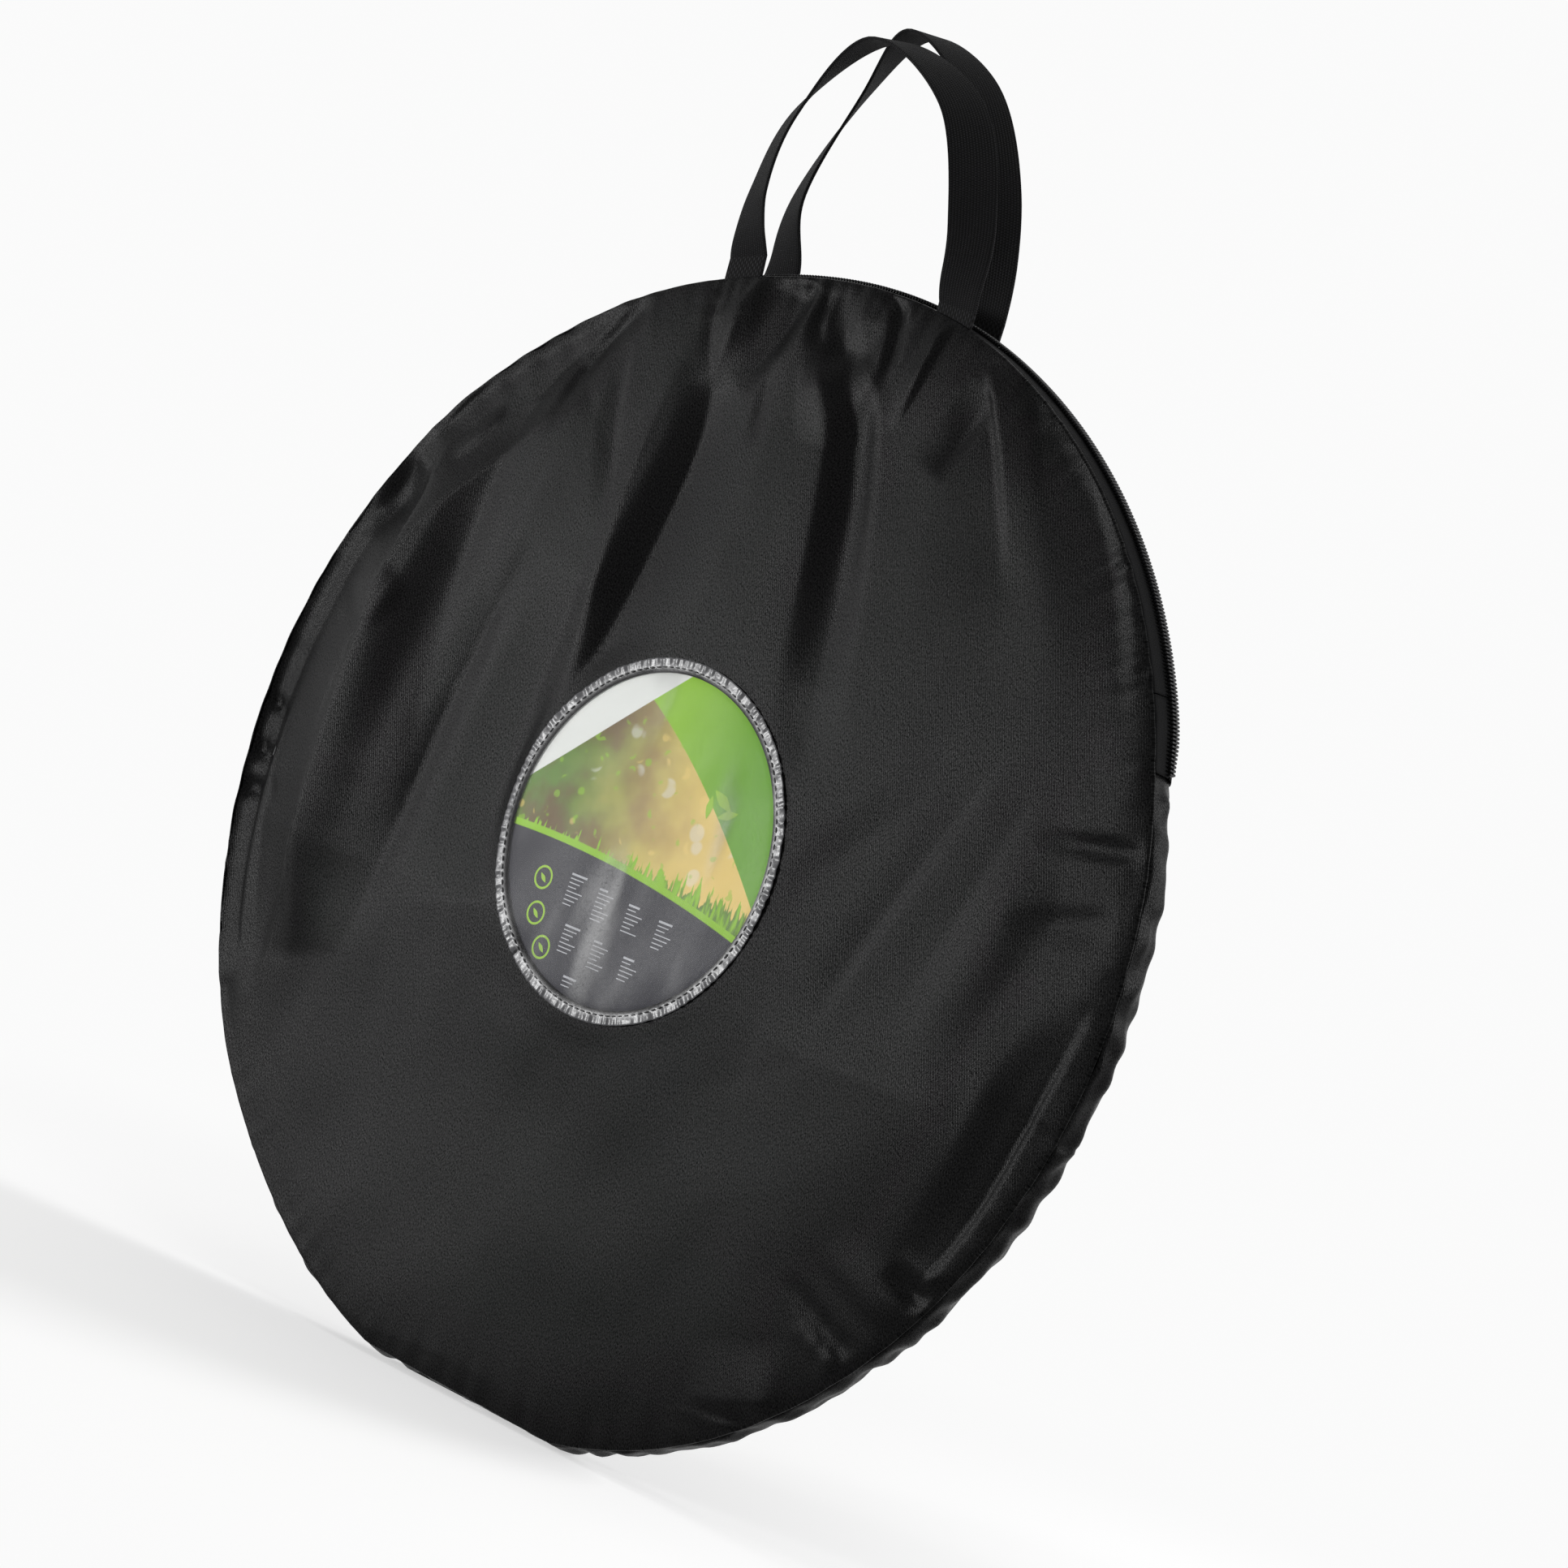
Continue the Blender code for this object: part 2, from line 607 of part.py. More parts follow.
def hold_straps(prefix, look, toggle_look, home, location):
    """A strap at each side that holds the folded bag shut, with its toggle on the outside."""
    inner = WALL_RADIUS - STRAP_HOLD
    wrap = BAG_RADIUS + CLEARANCE
    outer = wrap + STRAP
    near = CORE_HALF + CLEARANCE
    far = near + STRAP
    hook = [(inner, -far), (outer, -far), (outer, far), (inner, far)]
    hook += [(inner, near), (wrap, near), (wrap, -near), (inner, -near)]
    x, y, z = location
    for side, word in ((-1, "left"), (1, "right")):
        outline = [(side * radius, depth, -STRAP_WIDTH / 2) for radius, depth in hook]
        extruded(f"{prefix}_hold_strap_{word}", look, home, outline, (0, 0, STRAP_WIDTH), location)
        bpy.ops.mesh.primitive_cylinder_add(
            vertices=TOGGLE_SIDES,
            radius=TOGGLE_RADIUS,
            depth=TOGGLE_LENGTH,
            location=(x + side * (outer + CLEARANCE + TOGGLE_RADIUS), y, z),
        )
        adopt(f"{prefix}_toggle_{word}", toggle_look, home)


def adopt(name, look, home):
    """Names the primitive just added and moves it to a collection."""
    item = bpy.context.object
    item.name = name
    item.data.name = name
    item.data.materials.append(look)
    item.data.shade_smooth()
    item.data.set_sharp_from_angle(angle=SHARP)
    for old in list(item.users_collection):
        old.objects.unlink(item)
    home.objects.link(item)
    return item


def folded_bag(prefix, home, depth, cloth, wire, board, webbing, toggle_look):
    """One leaf bag as it lies folded in the case."""
    location = (0, depth, BAG_CENTRE_Z)
    turns = COIL_POINTS_PER_TURN
    arc_solid(f"{prefix}_folded_wall", cloth, home, wall_outline(), 0, FULL_TURN, turns, location)
    spring_coil(f"{prefix}_spring_coil", wire, home, location)
    bpy.ops.mesh.primitive_cylinder_add(
        vertices=turns,
        radius=WALL_RADIUS,
        depth=BASE_PANEL,
        location=(0, depth + CORE_HALF - BASE_PANEL / 2, BAG_CENTRE_Z),
        rotation=(math.pi / 2, 0, 0),
    )
    adopt(f"{prefix}_base_panel", board, home)
    bag_handles(prefix, webbing, home, location)
    hold_straps(prefix, webbing, toggle_look, home, location)


def main():
    """Builds the case and the bags in it."""
    clear_scene()
    home = collection("leaf_bag_case")
    cutters = collection("cutters")
    cloth = finish("black_polyester", (0.012, 0.012, 0.013), 0.5)
    webbing = finish("black_webbing", (0.01, 0.01, 0.011), 0.8)
    tape = finish("zip_tape", (0.008, 0.008, 0.009), 0.8)
    coil = finish("zip_coil", (0.015, 0.015, 0.016), 0.4)
    metal = finish("dark_metal", (0.04, 0.04, 0.045), 0.35, 1.0)
    film = finish("clear_film", (0.9, 0.9, 0.9), 0.08, alpha=0.3)
    thread = finish("thread", (0.01, 0.01, 0.01), 0.7)
    card = finish("printed_card", (0.3, 0.45, 0.1), 0.4)
    bag_cloth = finish("bag_fabric", (0.03, 0.035, 0.032), 0.7)
    wire = finish("spring_wire", (0.45, 0.46, 0.47), 0.3, 1.0)
    board = finish("base_board", (0.02, 0.02, 0.02), 0.5)
    toggles = finish("toggle_plastic", (0.02, 0.02, 0.02), 0.35)

    opening = [panels(home, cloth)]
    window(home, film, thread, card)
    gusset(home, cloth)
    opening += zip_chain(home, tape, coil)
    carrier = slider(home, cutters, metal)
    puller(home, metal, carrier)
    opening.append(handle("handle_front", webbing, home, -1, FRONT_LOOP_SHARES, FRONT_HANDLE_RISE))
    handle("handle_rear", webbing, home, 1, REAR_LOOP_SHARES, REAR_HANDLE_RISE)
    hang_on_hinge(opening, home)
    for index in range(BAG_COUNT):
        depth = (index - (BAG_COUNT - 1) / 2) * BAG_PITCH
        folded_bag(f"bag_{index + 1}", home, depth, bag_cloth, wire, board, webbing, toggles)


main()
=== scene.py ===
"""Looks of a round zipped carry case that holds three folded leaf bags.

Metres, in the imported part's frame: +Z up, front towards -Y. Most pieces are worked out about
the middle of the disc, in millimetres across and up it, and then set on the case.
"""

from __future__ import annotations

import logging
import math
from collections.abc import Callable, Sequence
from dataclasses import dataclass, replace
from enum import Enum

import bmesh
import bpy
import numpy as np
from mathutils import Matrix, Vector


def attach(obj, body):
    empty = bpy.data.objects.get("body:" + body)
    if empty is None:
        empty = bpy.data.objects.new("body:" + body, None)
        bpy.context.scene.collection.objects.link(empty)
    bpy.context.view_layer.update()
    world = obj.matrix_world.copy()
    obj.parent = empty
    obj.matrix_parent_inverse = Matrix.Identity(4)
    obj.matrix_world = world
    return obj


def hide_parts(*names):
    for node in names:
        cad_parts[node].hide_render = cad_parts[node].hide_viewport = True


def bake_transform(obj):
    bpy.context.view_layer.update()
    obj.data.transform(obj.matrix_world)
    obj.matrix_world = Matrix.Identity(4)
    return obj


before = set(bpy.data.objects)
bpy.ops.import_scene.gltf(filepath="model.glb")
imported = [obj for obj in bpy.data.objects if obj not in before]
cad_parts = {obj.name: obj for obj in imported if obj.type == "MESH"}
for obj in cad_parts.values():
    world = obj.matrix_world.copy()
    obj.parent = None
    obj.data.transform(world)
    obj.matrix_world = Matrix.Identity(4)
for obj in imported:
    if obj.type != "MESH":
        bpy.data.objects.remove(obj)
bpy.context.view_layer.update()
LOG = logging.getLogger("leaf_bag_case")

MM = 0.001
FULL_TURN = 2 * math.pi
UV_NAME = "cloth"
Array = np.ndarray


class Side(Enum):
    """Which face of the case a piece belongs to; the value is the sign of its depth."""

    FRONT = -1
    REAR = 1


# Meshes


def corners_of(mesh: bpy.types.Mesh) -> Array:
    """The mesh's points as rows.

    Args:
        mesh: the mesh to read.

    Returns:
        One row for each point.
    """
    flat = np.empty(len(mesh.vertices) * 3)
    mesh.vertices.foreach_get("co", flat)
    return flat.reshape(-1, 3)


def move_corners(mesh: bpy.types.Mesh, points: Array) -> None:
    """Puts the mesh's points at these rows."""
    mesh.vertices.foreach_set("co", np.asarray(points, np.float32).ravel())
    mesh.update()


def write_uv(mesh: bpy.types.Mesh, across: Array, along: Array) -> None:
    """Gives the mesh a UV map in metres.

    Args:
        mesh: the mesh to map.
        across: each point's first coordinate.
        along: each point's second coordinate.
    """
    layer = mesh.uv_layers.get(UV_NAME) or mesh.uv_layers.new(name=UV_NAME)
    index = np.empty(len(mesh.loops), np.int32)
    mesh.loops.foreach_get("vertex_index", index)
    pairs = np.stack([across[index], along[index]], 1)
    layer.data.foreach_set("uv", pairs.astype(np.float32).ravel())


def mesh_from(bm: bmesh.types.BMesh, name: str) -> bpy.types.Mesh:
    """Turns a bmesh into a smooth-shaded mesh and frees it.

    Args:
        bm: the bmesh, which is freed.
        name: its name.

    Returns:
        The mesh.
    """
    mesh = bpy.data.meshes.new(name)
    bm.to_mesh(mesh)
    bm.free()
    mesh.shade_smooth()
    return mesh


def grid_mesh(
    name: str,
    along: int,
    across: int,
    place: Callable[[Array, Array], Array],
    size: tuple[float, float],
) -> bpy.types.Mesh:
    """A sheet laid out from a flat grid.

    Args:
        name: the mesh's name.
        along: cells along the sheet.
        across: cells across it.
        place: gives the points for a share along, 0 to 1, and across, -1 to 1.
        size: the flat sheet's length and width, for its UV map.

    Returns:
        The placed mesh.
    """
    bm = bmesh.new()
    bmesh.ops.create_grid(bm, x_segments=along, y_segments=across, size=1)
    mesh = mesh_from(bm, name)
    flat = corners_of(mesh)
    share, off = (flat[:, 0] + 1) / 2, flat[:, 1]
    move_corners(mesh, place(share, off))
    write_uv(mesh, off * size[1] / 2, share * size[0])
    return mesh


def disc_mesh(name: str, radii: Sequence[float], steps: int) -> bpy.types.Mesh:
    """A flat disc or ring in the plane of the case, spun from a row of points.

    Args:
        name: the mesh's name.
        radii: the rings' distances from the centre, from 0 where it has no hole.
        steps: cells round the ring.

    Returns:
        The mesh, facing the front.
    """
    bm = bmesh.new()
    row = [bm.verts.new((radius, 0, 0)) for radius in radii]
    edges = [bm.edges.new(pair) for pair in zip(row, row[1:])]
    bmesh.ops.spin(
        bm, geom=row + edges, axis=(0, -1, 0), angle=FULL_TURN, steps=steps, use_merge=True
    )
    bmesh.ops.remove_doubles(bm, verts=bm.verts, dist=0.001 * MM)
    if sum(face.normal.y for face in bm.faces) > 0:
        bmesh.ops.reverse_faces(bm, faces=bm.faces)
    return mesh_from(bm, name)


def crowded(inner: float, outer: float, count: int, power: float) -> Array:
    """Ring distances that lie closer together towards the outer edge, and then roll over it."""
    rings = inner + (outer - inner) * (1 - (1 - np.linspace(0, 1, count + 1)) ** power)
    return np.concatenate([rings, outer + np.array([0.35, 0.75, 1.15, 1.55, 2.0])])


def piece(
    name: str,
    mesh: bpy.types.Mesh,
    finish: bpy.types.Material | Sequence[bpy.types.Material],
    stands_for: Sequence[str] = (),
    body: str | None = None,
) -> bpy.types.Object:
    """Makes an object of a mesh and says what it belongs to.

    Args:
        name: the piece's name.
        mesh: its mesh, in the part's frame.
        finish: its material or materials.
        stands_for: the CAD nodes it is shown in place of.
        body: the CAD body it moves with, if it has one.

    Returns:
        The object.
    """
    made = bpy.data.objects.new(name, mesh)
    bpy.context.scene.collection.objects.link(made)
    for material in finish if isinstance(finish, (list, tuple)) else [finish]:
        mesh.materials.append(material)
    if stands_for:
        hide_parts(*stands_for)
    if body:
        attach(made, body)
    LOG.info("%s: %d faces", name, len(mesh.polygons))
    return made


def thicken(item: bpy.types.Object, thickness: float, offset: float = 0.0) -> None:
    """Gives an open sheet its thickness.

    Args:
        item: the sheet.
        thickness: in metres.
        offset: -1 for inwards, 0 for both ways, 1 for outwards.
    """
    shell = item.modifiers.new("thickness", "SOLIDIFY")
    shell.thickness = thickness
    shell.offset = offset


def soften(item: bpy.types.Object, width: float) -> None:
    """Rounds a piece's sharp edges.

    Args:
        item: the piece.
        width: in metres.
    """
    edge = item.modifiers.new("edges", "BEVEL")
    edge.width = width
    edge.segments = 2
    edge.limit_method = "ANGLE"
    edge.angle_limit = math.radians(38)


def waves(x: Array, z: Array, length: float, seed: int, count: int = 12) -> Array:
    """Smooth unevenness between about -1 and 1, the same each run.

    Args:
        x: first coordinate, in the same unit as length.
        z: second coordinate.
        length: the usual distance from crest to crest.
        seed: which pattern.
        count: how many plane waves it is made of.

    Returns:
        The height at each point.
    """
    draw = np.random.default_rng(seed)
    total = np.zeros(np.shape(x))
    for heading, phase, stretch in draw.random((count, 3)):
        turn = heading * math.pi
        step = FULL_TURN / (length * (0.7 + 0.8 * stretch))
        total += np.sin((x * math.cos(turn) + z * math.sin(turn)) * step + phase * FULL_TURN)
    return total / math.sqrt(count)


def wrapped(degrees: Array) -> Array:
    """The same angles, between -180 and 180 degrees."""
    return (degrees + 180) % 360 - 180


def bell(value: Array, middle: float, width: float) -> Array:
    """A smooth rise to 1 about middle."""
    return np.exp(-(((value - middle) / width) ** 2))


def heading(azimuth: float, elevation: float) -> Vector:
    """The way from the case towards a place seen from it at these angles, in degrees."""
    turn, rise = math.radians(azimuth), math.radians(elevation)
    return Vector((math.sin(turn) * math.cos(rise), -math.cos(turn) * math.cos(rise), math.sin(rise)))


def smooth_rows(rows: Array, pieces: int) -> Array:
    """Rows of a Catmull-Rom curve through these.

    Args:
        rows: the knots, one a row.
        pieces: how many stretches each gap is cut into.

    Returns:
        The curve's rows, ends included.
    """
    padded = np.vstack([2 * rows[0] - rows[1], rows, 2 * rows[-1] - rows[-2]])
    t = (np.arange(pieces) / pieces)[:, None]
    made = []
    for a, b, c, d in zip(padded, padded[1:], padded[2:], padded[3:]):
        pull = (c - a) * t + (2 * a - 5 * b + 4 * c - d) * t**2 + (3 * b - a - 3 * c + d) * t**3
        made.append(b + pull / 2)
    return np.vstack([*made, rows[-1]])


# The case's form


@dataclass(frozen=True)
class CaseForm:
    """The drum that the cloth is drawn over, in millimetres about the middle of the disc."""

    radius: float = 300.0
    rear_radius: float = 289.0
    centre_height: float = 292.0
    half_depth: float = 15.0
    crown: float = 11.0
    rounding: float = 0.6
    roll: float = 1.2
    press_fade: float = 4.0
    bag_radius: float = 277.0
    bag_drop: float = 15.9
    bag_half_depth: float = 14.6
    empty_half_depth: float = 5.0
    bag_fade: float = 14.0
    rim: tuple[tuple[float, float], ...] = (
        (-180, 1.003), (-169, 1.003), (-148, 1.0), (-130, 0.98), (-111, 0.98), (-90, 0.985),
        (-60, 1.0), (0, 0.998), (14, 0.995), (24, 0.992), (35, 0.997), (45, 1.0), (75, 1.0),
        (90, 0.988), (100, 0.978), (111, 0.98), (127, 0.983), (141, 0.99), (156, 0.997),
        (170, 1.003), (180, 1.003),
    )

    def rim_share(self, angle: Array) -> Array:
        """How far out the rim lies at these angles, as a share of the radius.

        Args:
            angle: angles about the middle, in radians.

        Returns:
            One share for each angle.
        """
        turns, shares = np.array(self.rim).T
        degrees = wrapped(np.degrees(angle))
        return sum(np.interp(wrapped(degrees + lag), turns, shares) for lag in (-5, 0, 5)) / 3

    def outer(self, side: Side) -> float:
        """A panel's radius."""
        return self.radius if side is Side.FRONT else self.rear_radius

    def crown_depth(self, distance: Array, rim: float) -> Array:
        """A panel's depth from the middle plane at this distance from the centre."""
        share = np.clip(distance / rim, 0, 1)
        return self.half_depth + self.crown * (1 - share**2) ** self.rounding

    def pressed(self, points: Array) -> Array:
        """Presses the rim flat where the case stands on the floor.

        Args:
            points: rows about the middle of the disc, in millimetres.

        Returns:
            The rows after pressing.
        """
        x, z = points[:, 0], points[:, 2]
        rim = np.where(points[:, 1] < 0, self.radius, np.minimum(self.radius, self.centre_height))
        distance = np.maximum(np.hypot(x, z), 1e-6)
        full = np.maximum(distance, rim)
        low = -z * full > self.centre_height * distance
        reach = np.where(low, self.centre_height * distance / np.maximum(-z, 1e-6), full)
        fade = np.minimum(distance / rim, 1) ** self.press_fade
        shrink = np.where(low, 1 - fade * (1 - reach / full), 1)
        return points * np.stack([shrink, np.ones_like(shrink), shrink], 1)

    def set_down(self, points: Array) -> Array:
        """Takes points about the disc, in millimetres, to the part's frame in metres.

        Args:
            points: rows about the middle of the disc.

        Returns:
            The points in the part's frame.
        """
        made = self.pressed(points)
        made[:, 2] = np.maximum(made[:, 2] + self.centre_height, 0.0)
        return made * MM

    def least_depth(self, x: Array, z: Array) -> Array:
        """How near the middle plane cloth may come without meeting the bags.

        Args:
            x: places across the panel, in millimetres.
            z: places up the panel, in millimetres.

        Returns:
            The least depth at each place, in millimetres.
        """
        past = np.hypot(x, z + self.bag_drop) - self.bag_radius
        free = np.clip(past / self.bag_fade, 0, 1)
        return self.bag_half_depth + (self.empty_half_depth - self.bag_half_depth) * free


@dataclass(frozen=True)
class Fold:
    """A line across a panel along which the cloth rises or sinks, in millimetres.

    The height grows to its full value at the share of the line called peak; with a peak of 0 the
    line starts at its full height. left and right are how far the fold reaches on each side of
    the way the line runs, and flare is how many times wider it is at its end.
    """

    line: tuple[tuple[float, float], ...]
    height: float
    left: float
    right: float
    peak: float = 0.45
    crisp: float = 0.0
    flare: float = 1.0

    def swell(self, share: Array) -> Array:
        """The part of its full height that the fold has at these shares of its line."""
        fall = np.cos(np.clip((share - self.peak) / (1 - self.peak), 0, 1) * math.pi / 2)
        return fall * np.sin(np.clip(share / self.peak, 0, 1) * math.pi / 2) if self.peak else fall

    def relief(self, x: Array, z: Array) -> Array:
        """The fold's height at these points of the panel.

        Args:
            x: places across the panel, in millimetres.
            z: places up the panel, in millimetres.

        Returns:
            The height at each place, in millimetres.
        """
        line = smooth_rows(np.array(self.line, float), 5)
        lengths = np.hypot(*np.diff(line, axis=0).T)
        starts = np.concatenate([[0], np.cumsum(lengths)]) / lengths.sum()
        nearest = np.full(x.shape, np.inf)
        along, side = np.zeros(x.shape), np.zeros(x.shape)
        for start, end, at, length in zip(line, line[1:], starts, lengths):
            run = end - start
            share = np.clip(((x - start[0]) * run[0] + (z - start[1]) * run[1]) / (run @ run), 0, 1)
            off_x, off_z = x - start[0] - share * run[0], z - start[1] - share * run[1]
            distance = np.hypot(off_x, off_z)
            closer = distance < nearest
            nearest = np.where(closer, distance, nearest)
            along = np.where(closer, at + share * length / lengths.sum(), along)
            side = np.where(closer, run[0] * off_z - run[1] * off_x, side)
        reach = np.where(side > 0, self.left, self.right) * (1 + (self.flare - 1) * along)
        share = np.clip(nearest / reach, 0, 1)
        bell = (1 - self.crisp) * (1 - share**2) ** 2 + self.crisp * (1 - share) ** 2
        return self.height * self.swell(along) * bell


# Most lines were first drawn over folds in the photograph, and the rest were guesses.
# Another program then shifted and reshaped them to fit the photograph's shading. The heights,
# widths and crispness here are that program's, rounded, with a few changed.
FRONT_FOLDS = (
    Fold(((-76, 263), (-63, 225), (-60, 180), (-71, 90), (-91, 5)), -8.5, 53, 22, 0.35, 0.7),
    Fold(((-123, 256), (-165, 220), (-182, 180), (-188, 85), (-176, -10)), -9, 41, 140, 0.45, 0.9),
    Fold(((-88, 235), (-87, 138), (-82, 42)), 3.7, 22, 18, 0.45, 0.9),
    Fold(((-144, 209), (-218, 115), (-241, -6), (-213, -122)), 17, 75, 59, 0.5, 0.85),
    Fold(((-141, 125), (-161, 49), (-167, -31), (-176, -109)), -5.5, 24, 29, 0.45, 0.9),
    Fold(((-96, 114), (-107, 57), (-105, -3), (-91, -59)), -8, 25, 75, 0.5),
    Fold(((-128, 242), (-114, 195), (-96, 148)), -1.5, 5, 14, 0.45, 0.3),
    Fold(((-122, 266), (-150, 227), (-160, 180)), -3, 12, 7, 0.45, 0.2),
    Fold(((-60, 292), (-60, 270), (-64, 225)), 4, 19, 17, 0.5, 0.75),
    Fold(((-78, 285), (-76, 258), (-67, 232)), -1.5, 3, 9, 0.4, 0.7),
    Fold(((-80, 284), (-81, 272)), -2.6, 3, 3, 0),
    Fold(((-23, 292), (-31, 260), (-44, 230)), -5.5, 13, 33, 0.2, 0.4),
    Fold(((-8, 290), (-8, 274), (-1, 259)), -3, 5, 10, 0.4, 0.7),
    Fold(((-15, 289), (-11, 256), (-2, 223)), 1.3, 13, 29, 0.2),
    Fold(((-4, 295), (15, 258), (40, 221), (64, 136), (84, 51)), -7, 12, 12, 0.35, 0.2, 2.4),
    Fold(((-4, 235), (24, 245), (28, 215)), 5.3, 20, 30, 0.5, 0.15),
    Fold(((17, 300), (36, 290), (43, 269), (45, 247)), -3.3, 8, 6, 0.35, 0.7),
    Fold(((24, 280), (26, 235)), -2, 12, 11, 0.5),
    Fold(((39, 284), (41, 244)), 1.3, 7, 8, 0.5),
    Fold(((-27, 250), (-22, 205)), -1.7, 8, 8, 0.5, 0.7),
    Fold(((71, 290), (67, 260), (62, 230)), 3.2, 4, 11, 0.25, 0.5),
    Fold(((64, 260), (64, 100)), -2, 78, 39, 0.5, 0.15),
    Fold(((111, 262), (104, 238), (96, 215)), -3.5, 11, 23, 0.5, 0.5),
    Fold(((102, 287), (133, 229), (161, 166), (175, 101)), -2.3, 12, 24, 0.3, 0.25, 3),
    Fold(((105, 273), (126, 242), (145, 209), (162, 176)), 3.5, 22, 6, 0.2, 0.3),
    Fold(((136, 274), (183, 233), (222, 182), (250, 126)), -2.7, 10, 45, 0.5, 0.2),
    Fold(((177, 90), (148, 53), (117, 17), (103, -27)), -2, 100, 22, 0.5, 0.5),
    Fold(((199, 108), (177, 51), (155, -7), (139, -66)), -1.8, 6, 21, 0.5, 0.45),
    Fold(((219, 90), (208, 46), (195, 0), (180, -43)), -1.4, 9, 25, 0.5, 0.55),
    Fold(((233, 56), (223, 20), (212, -18), (201, -54)), 1.8, 26, 15, 0.45),
    Fold(((290, 77), (259, 72), (228, 68)), -2.4, 9, 8, 0.3, 0.4),
    Fold(((285, 43), (257, 35), (228, 27)), -1.6, 18, 10, 0.3, 0.4),
    Fold(((285, 115), (267, 107), (250, 98)), 1, 20, 39, 0.3),
    Fold(((268, 161), (254, 152), (239, 143)), -1, 4, 4, 0.2),
    Fold(((281, 24), (252, -34), (238, -101), (217, -164)), 1.5, 18, 84, 0.5, 0.3),
    Fold(((288, 5), (277, -49), (265, -105), (243, -156)), -3.5, 5, 35, 0.45, 0.8),
    Fold(((215, 145), (251, 36), (244, -79)), -1.8, 36, 53, 0.5, 0.2),
    Fold(((59, -116), (153, -60), (196, 41)), -2.2, 65, 60, 0.5, 0.35),
    Fold(((110, -66), (240, -66)), 3.5, 41, 77, 0.5, 0.75),
    Fold(((252, -52), (275, -58), (298, -62)), -1.3, 4, 3, 0.7, 0.6),
    Fold(((262, -140), (248, -138), (235, -134)), 1.4, 4.5, 4.5, 0.3),
    Fold(((256, -153), (243, -148), (230, -143)), -3.5, 6, 7, 0.3),
    Fold(((242, -168), (217, -157), (193, -146)), 1, 8, 20, 0.3),
    Fold(((226, -189), (200, -178), (175, -166)), -2, 4, 7, 0.2, 0.5),
    Fold(((218, -195), (203, -189), (188, -184)), 2, 4, 3, 0, 0.5),
    Fold(((200, -222), (171, -231), (141, -238)), 2.5, 8, 31, 0.3, 0.45),
    Fold(((185, -243), (163, -244), (140, -244)), 1.5, 4, 4, 0.1),
    Fold(((-304, 5), (-292, -2), (-279, -7)), -2.8, 5, 5, 0.2),
    Fold(((-306, -22), (-290, -28), (-274, -32)), -3.5, 9, 8, 0.1, 0.2),
    Fold(((-303, -49), (-282, -48), (-262, -46)), -4, 8, 7, 0.1),
    Fold(((-259, -140), (-244, -144), (-229, -148)), 1.8, 26, 14, 0),
    Fold(((-245, 163), (-232, 184), (-217, 204)), 1.8, 4, 4, 0.5),
    Fold(((-220, 154), (-208, 169), (-198, 186)), 2, 8, 4, 0.5),
    Fold(((-240, 52), (-231, 69), (-222, 87)), 5, 44, 17, 0.5),
    Fold(((-258, 100), (-254, 124), (-246, 148)), -6.4, 16, 34, 0.55),
    Fold(((-229, 170), (-229, 10), (-229, -150)), 8.3, 39, 8, 0.5, 0.9),
    Fold(((-246, 155), (-285, 0), (-246, -155)), -8, 54, 66, 0.5, 0.5),
    Fold(((-217, 131), (-243, 1), (-217, -130)), -5, 10, 36, 0.5, 0.2),
    Fold(((-204, -75), (-234, -177), (-155, -247)), 1.6, 36, 21, 0.5),
    Fold(((-137, 194), (-164, 112), (-148, 27)), -1.2, 14, 160, 0.5, 0.65),
    Fold(((-145, 90), (-145, -260)), -1.9, 125, 115, 0.5, 0.35),
    Fold(((-77, -60), (-77, -280)), -4.4, 180, 450, 0.5, 0.15),
    Fold(((74, -60), (74, -280)), -1.4, 100, 85, 0.5),
    Fold(((-150, -145), (150, -145)), -1.1, 52, 78, 0.5),
)


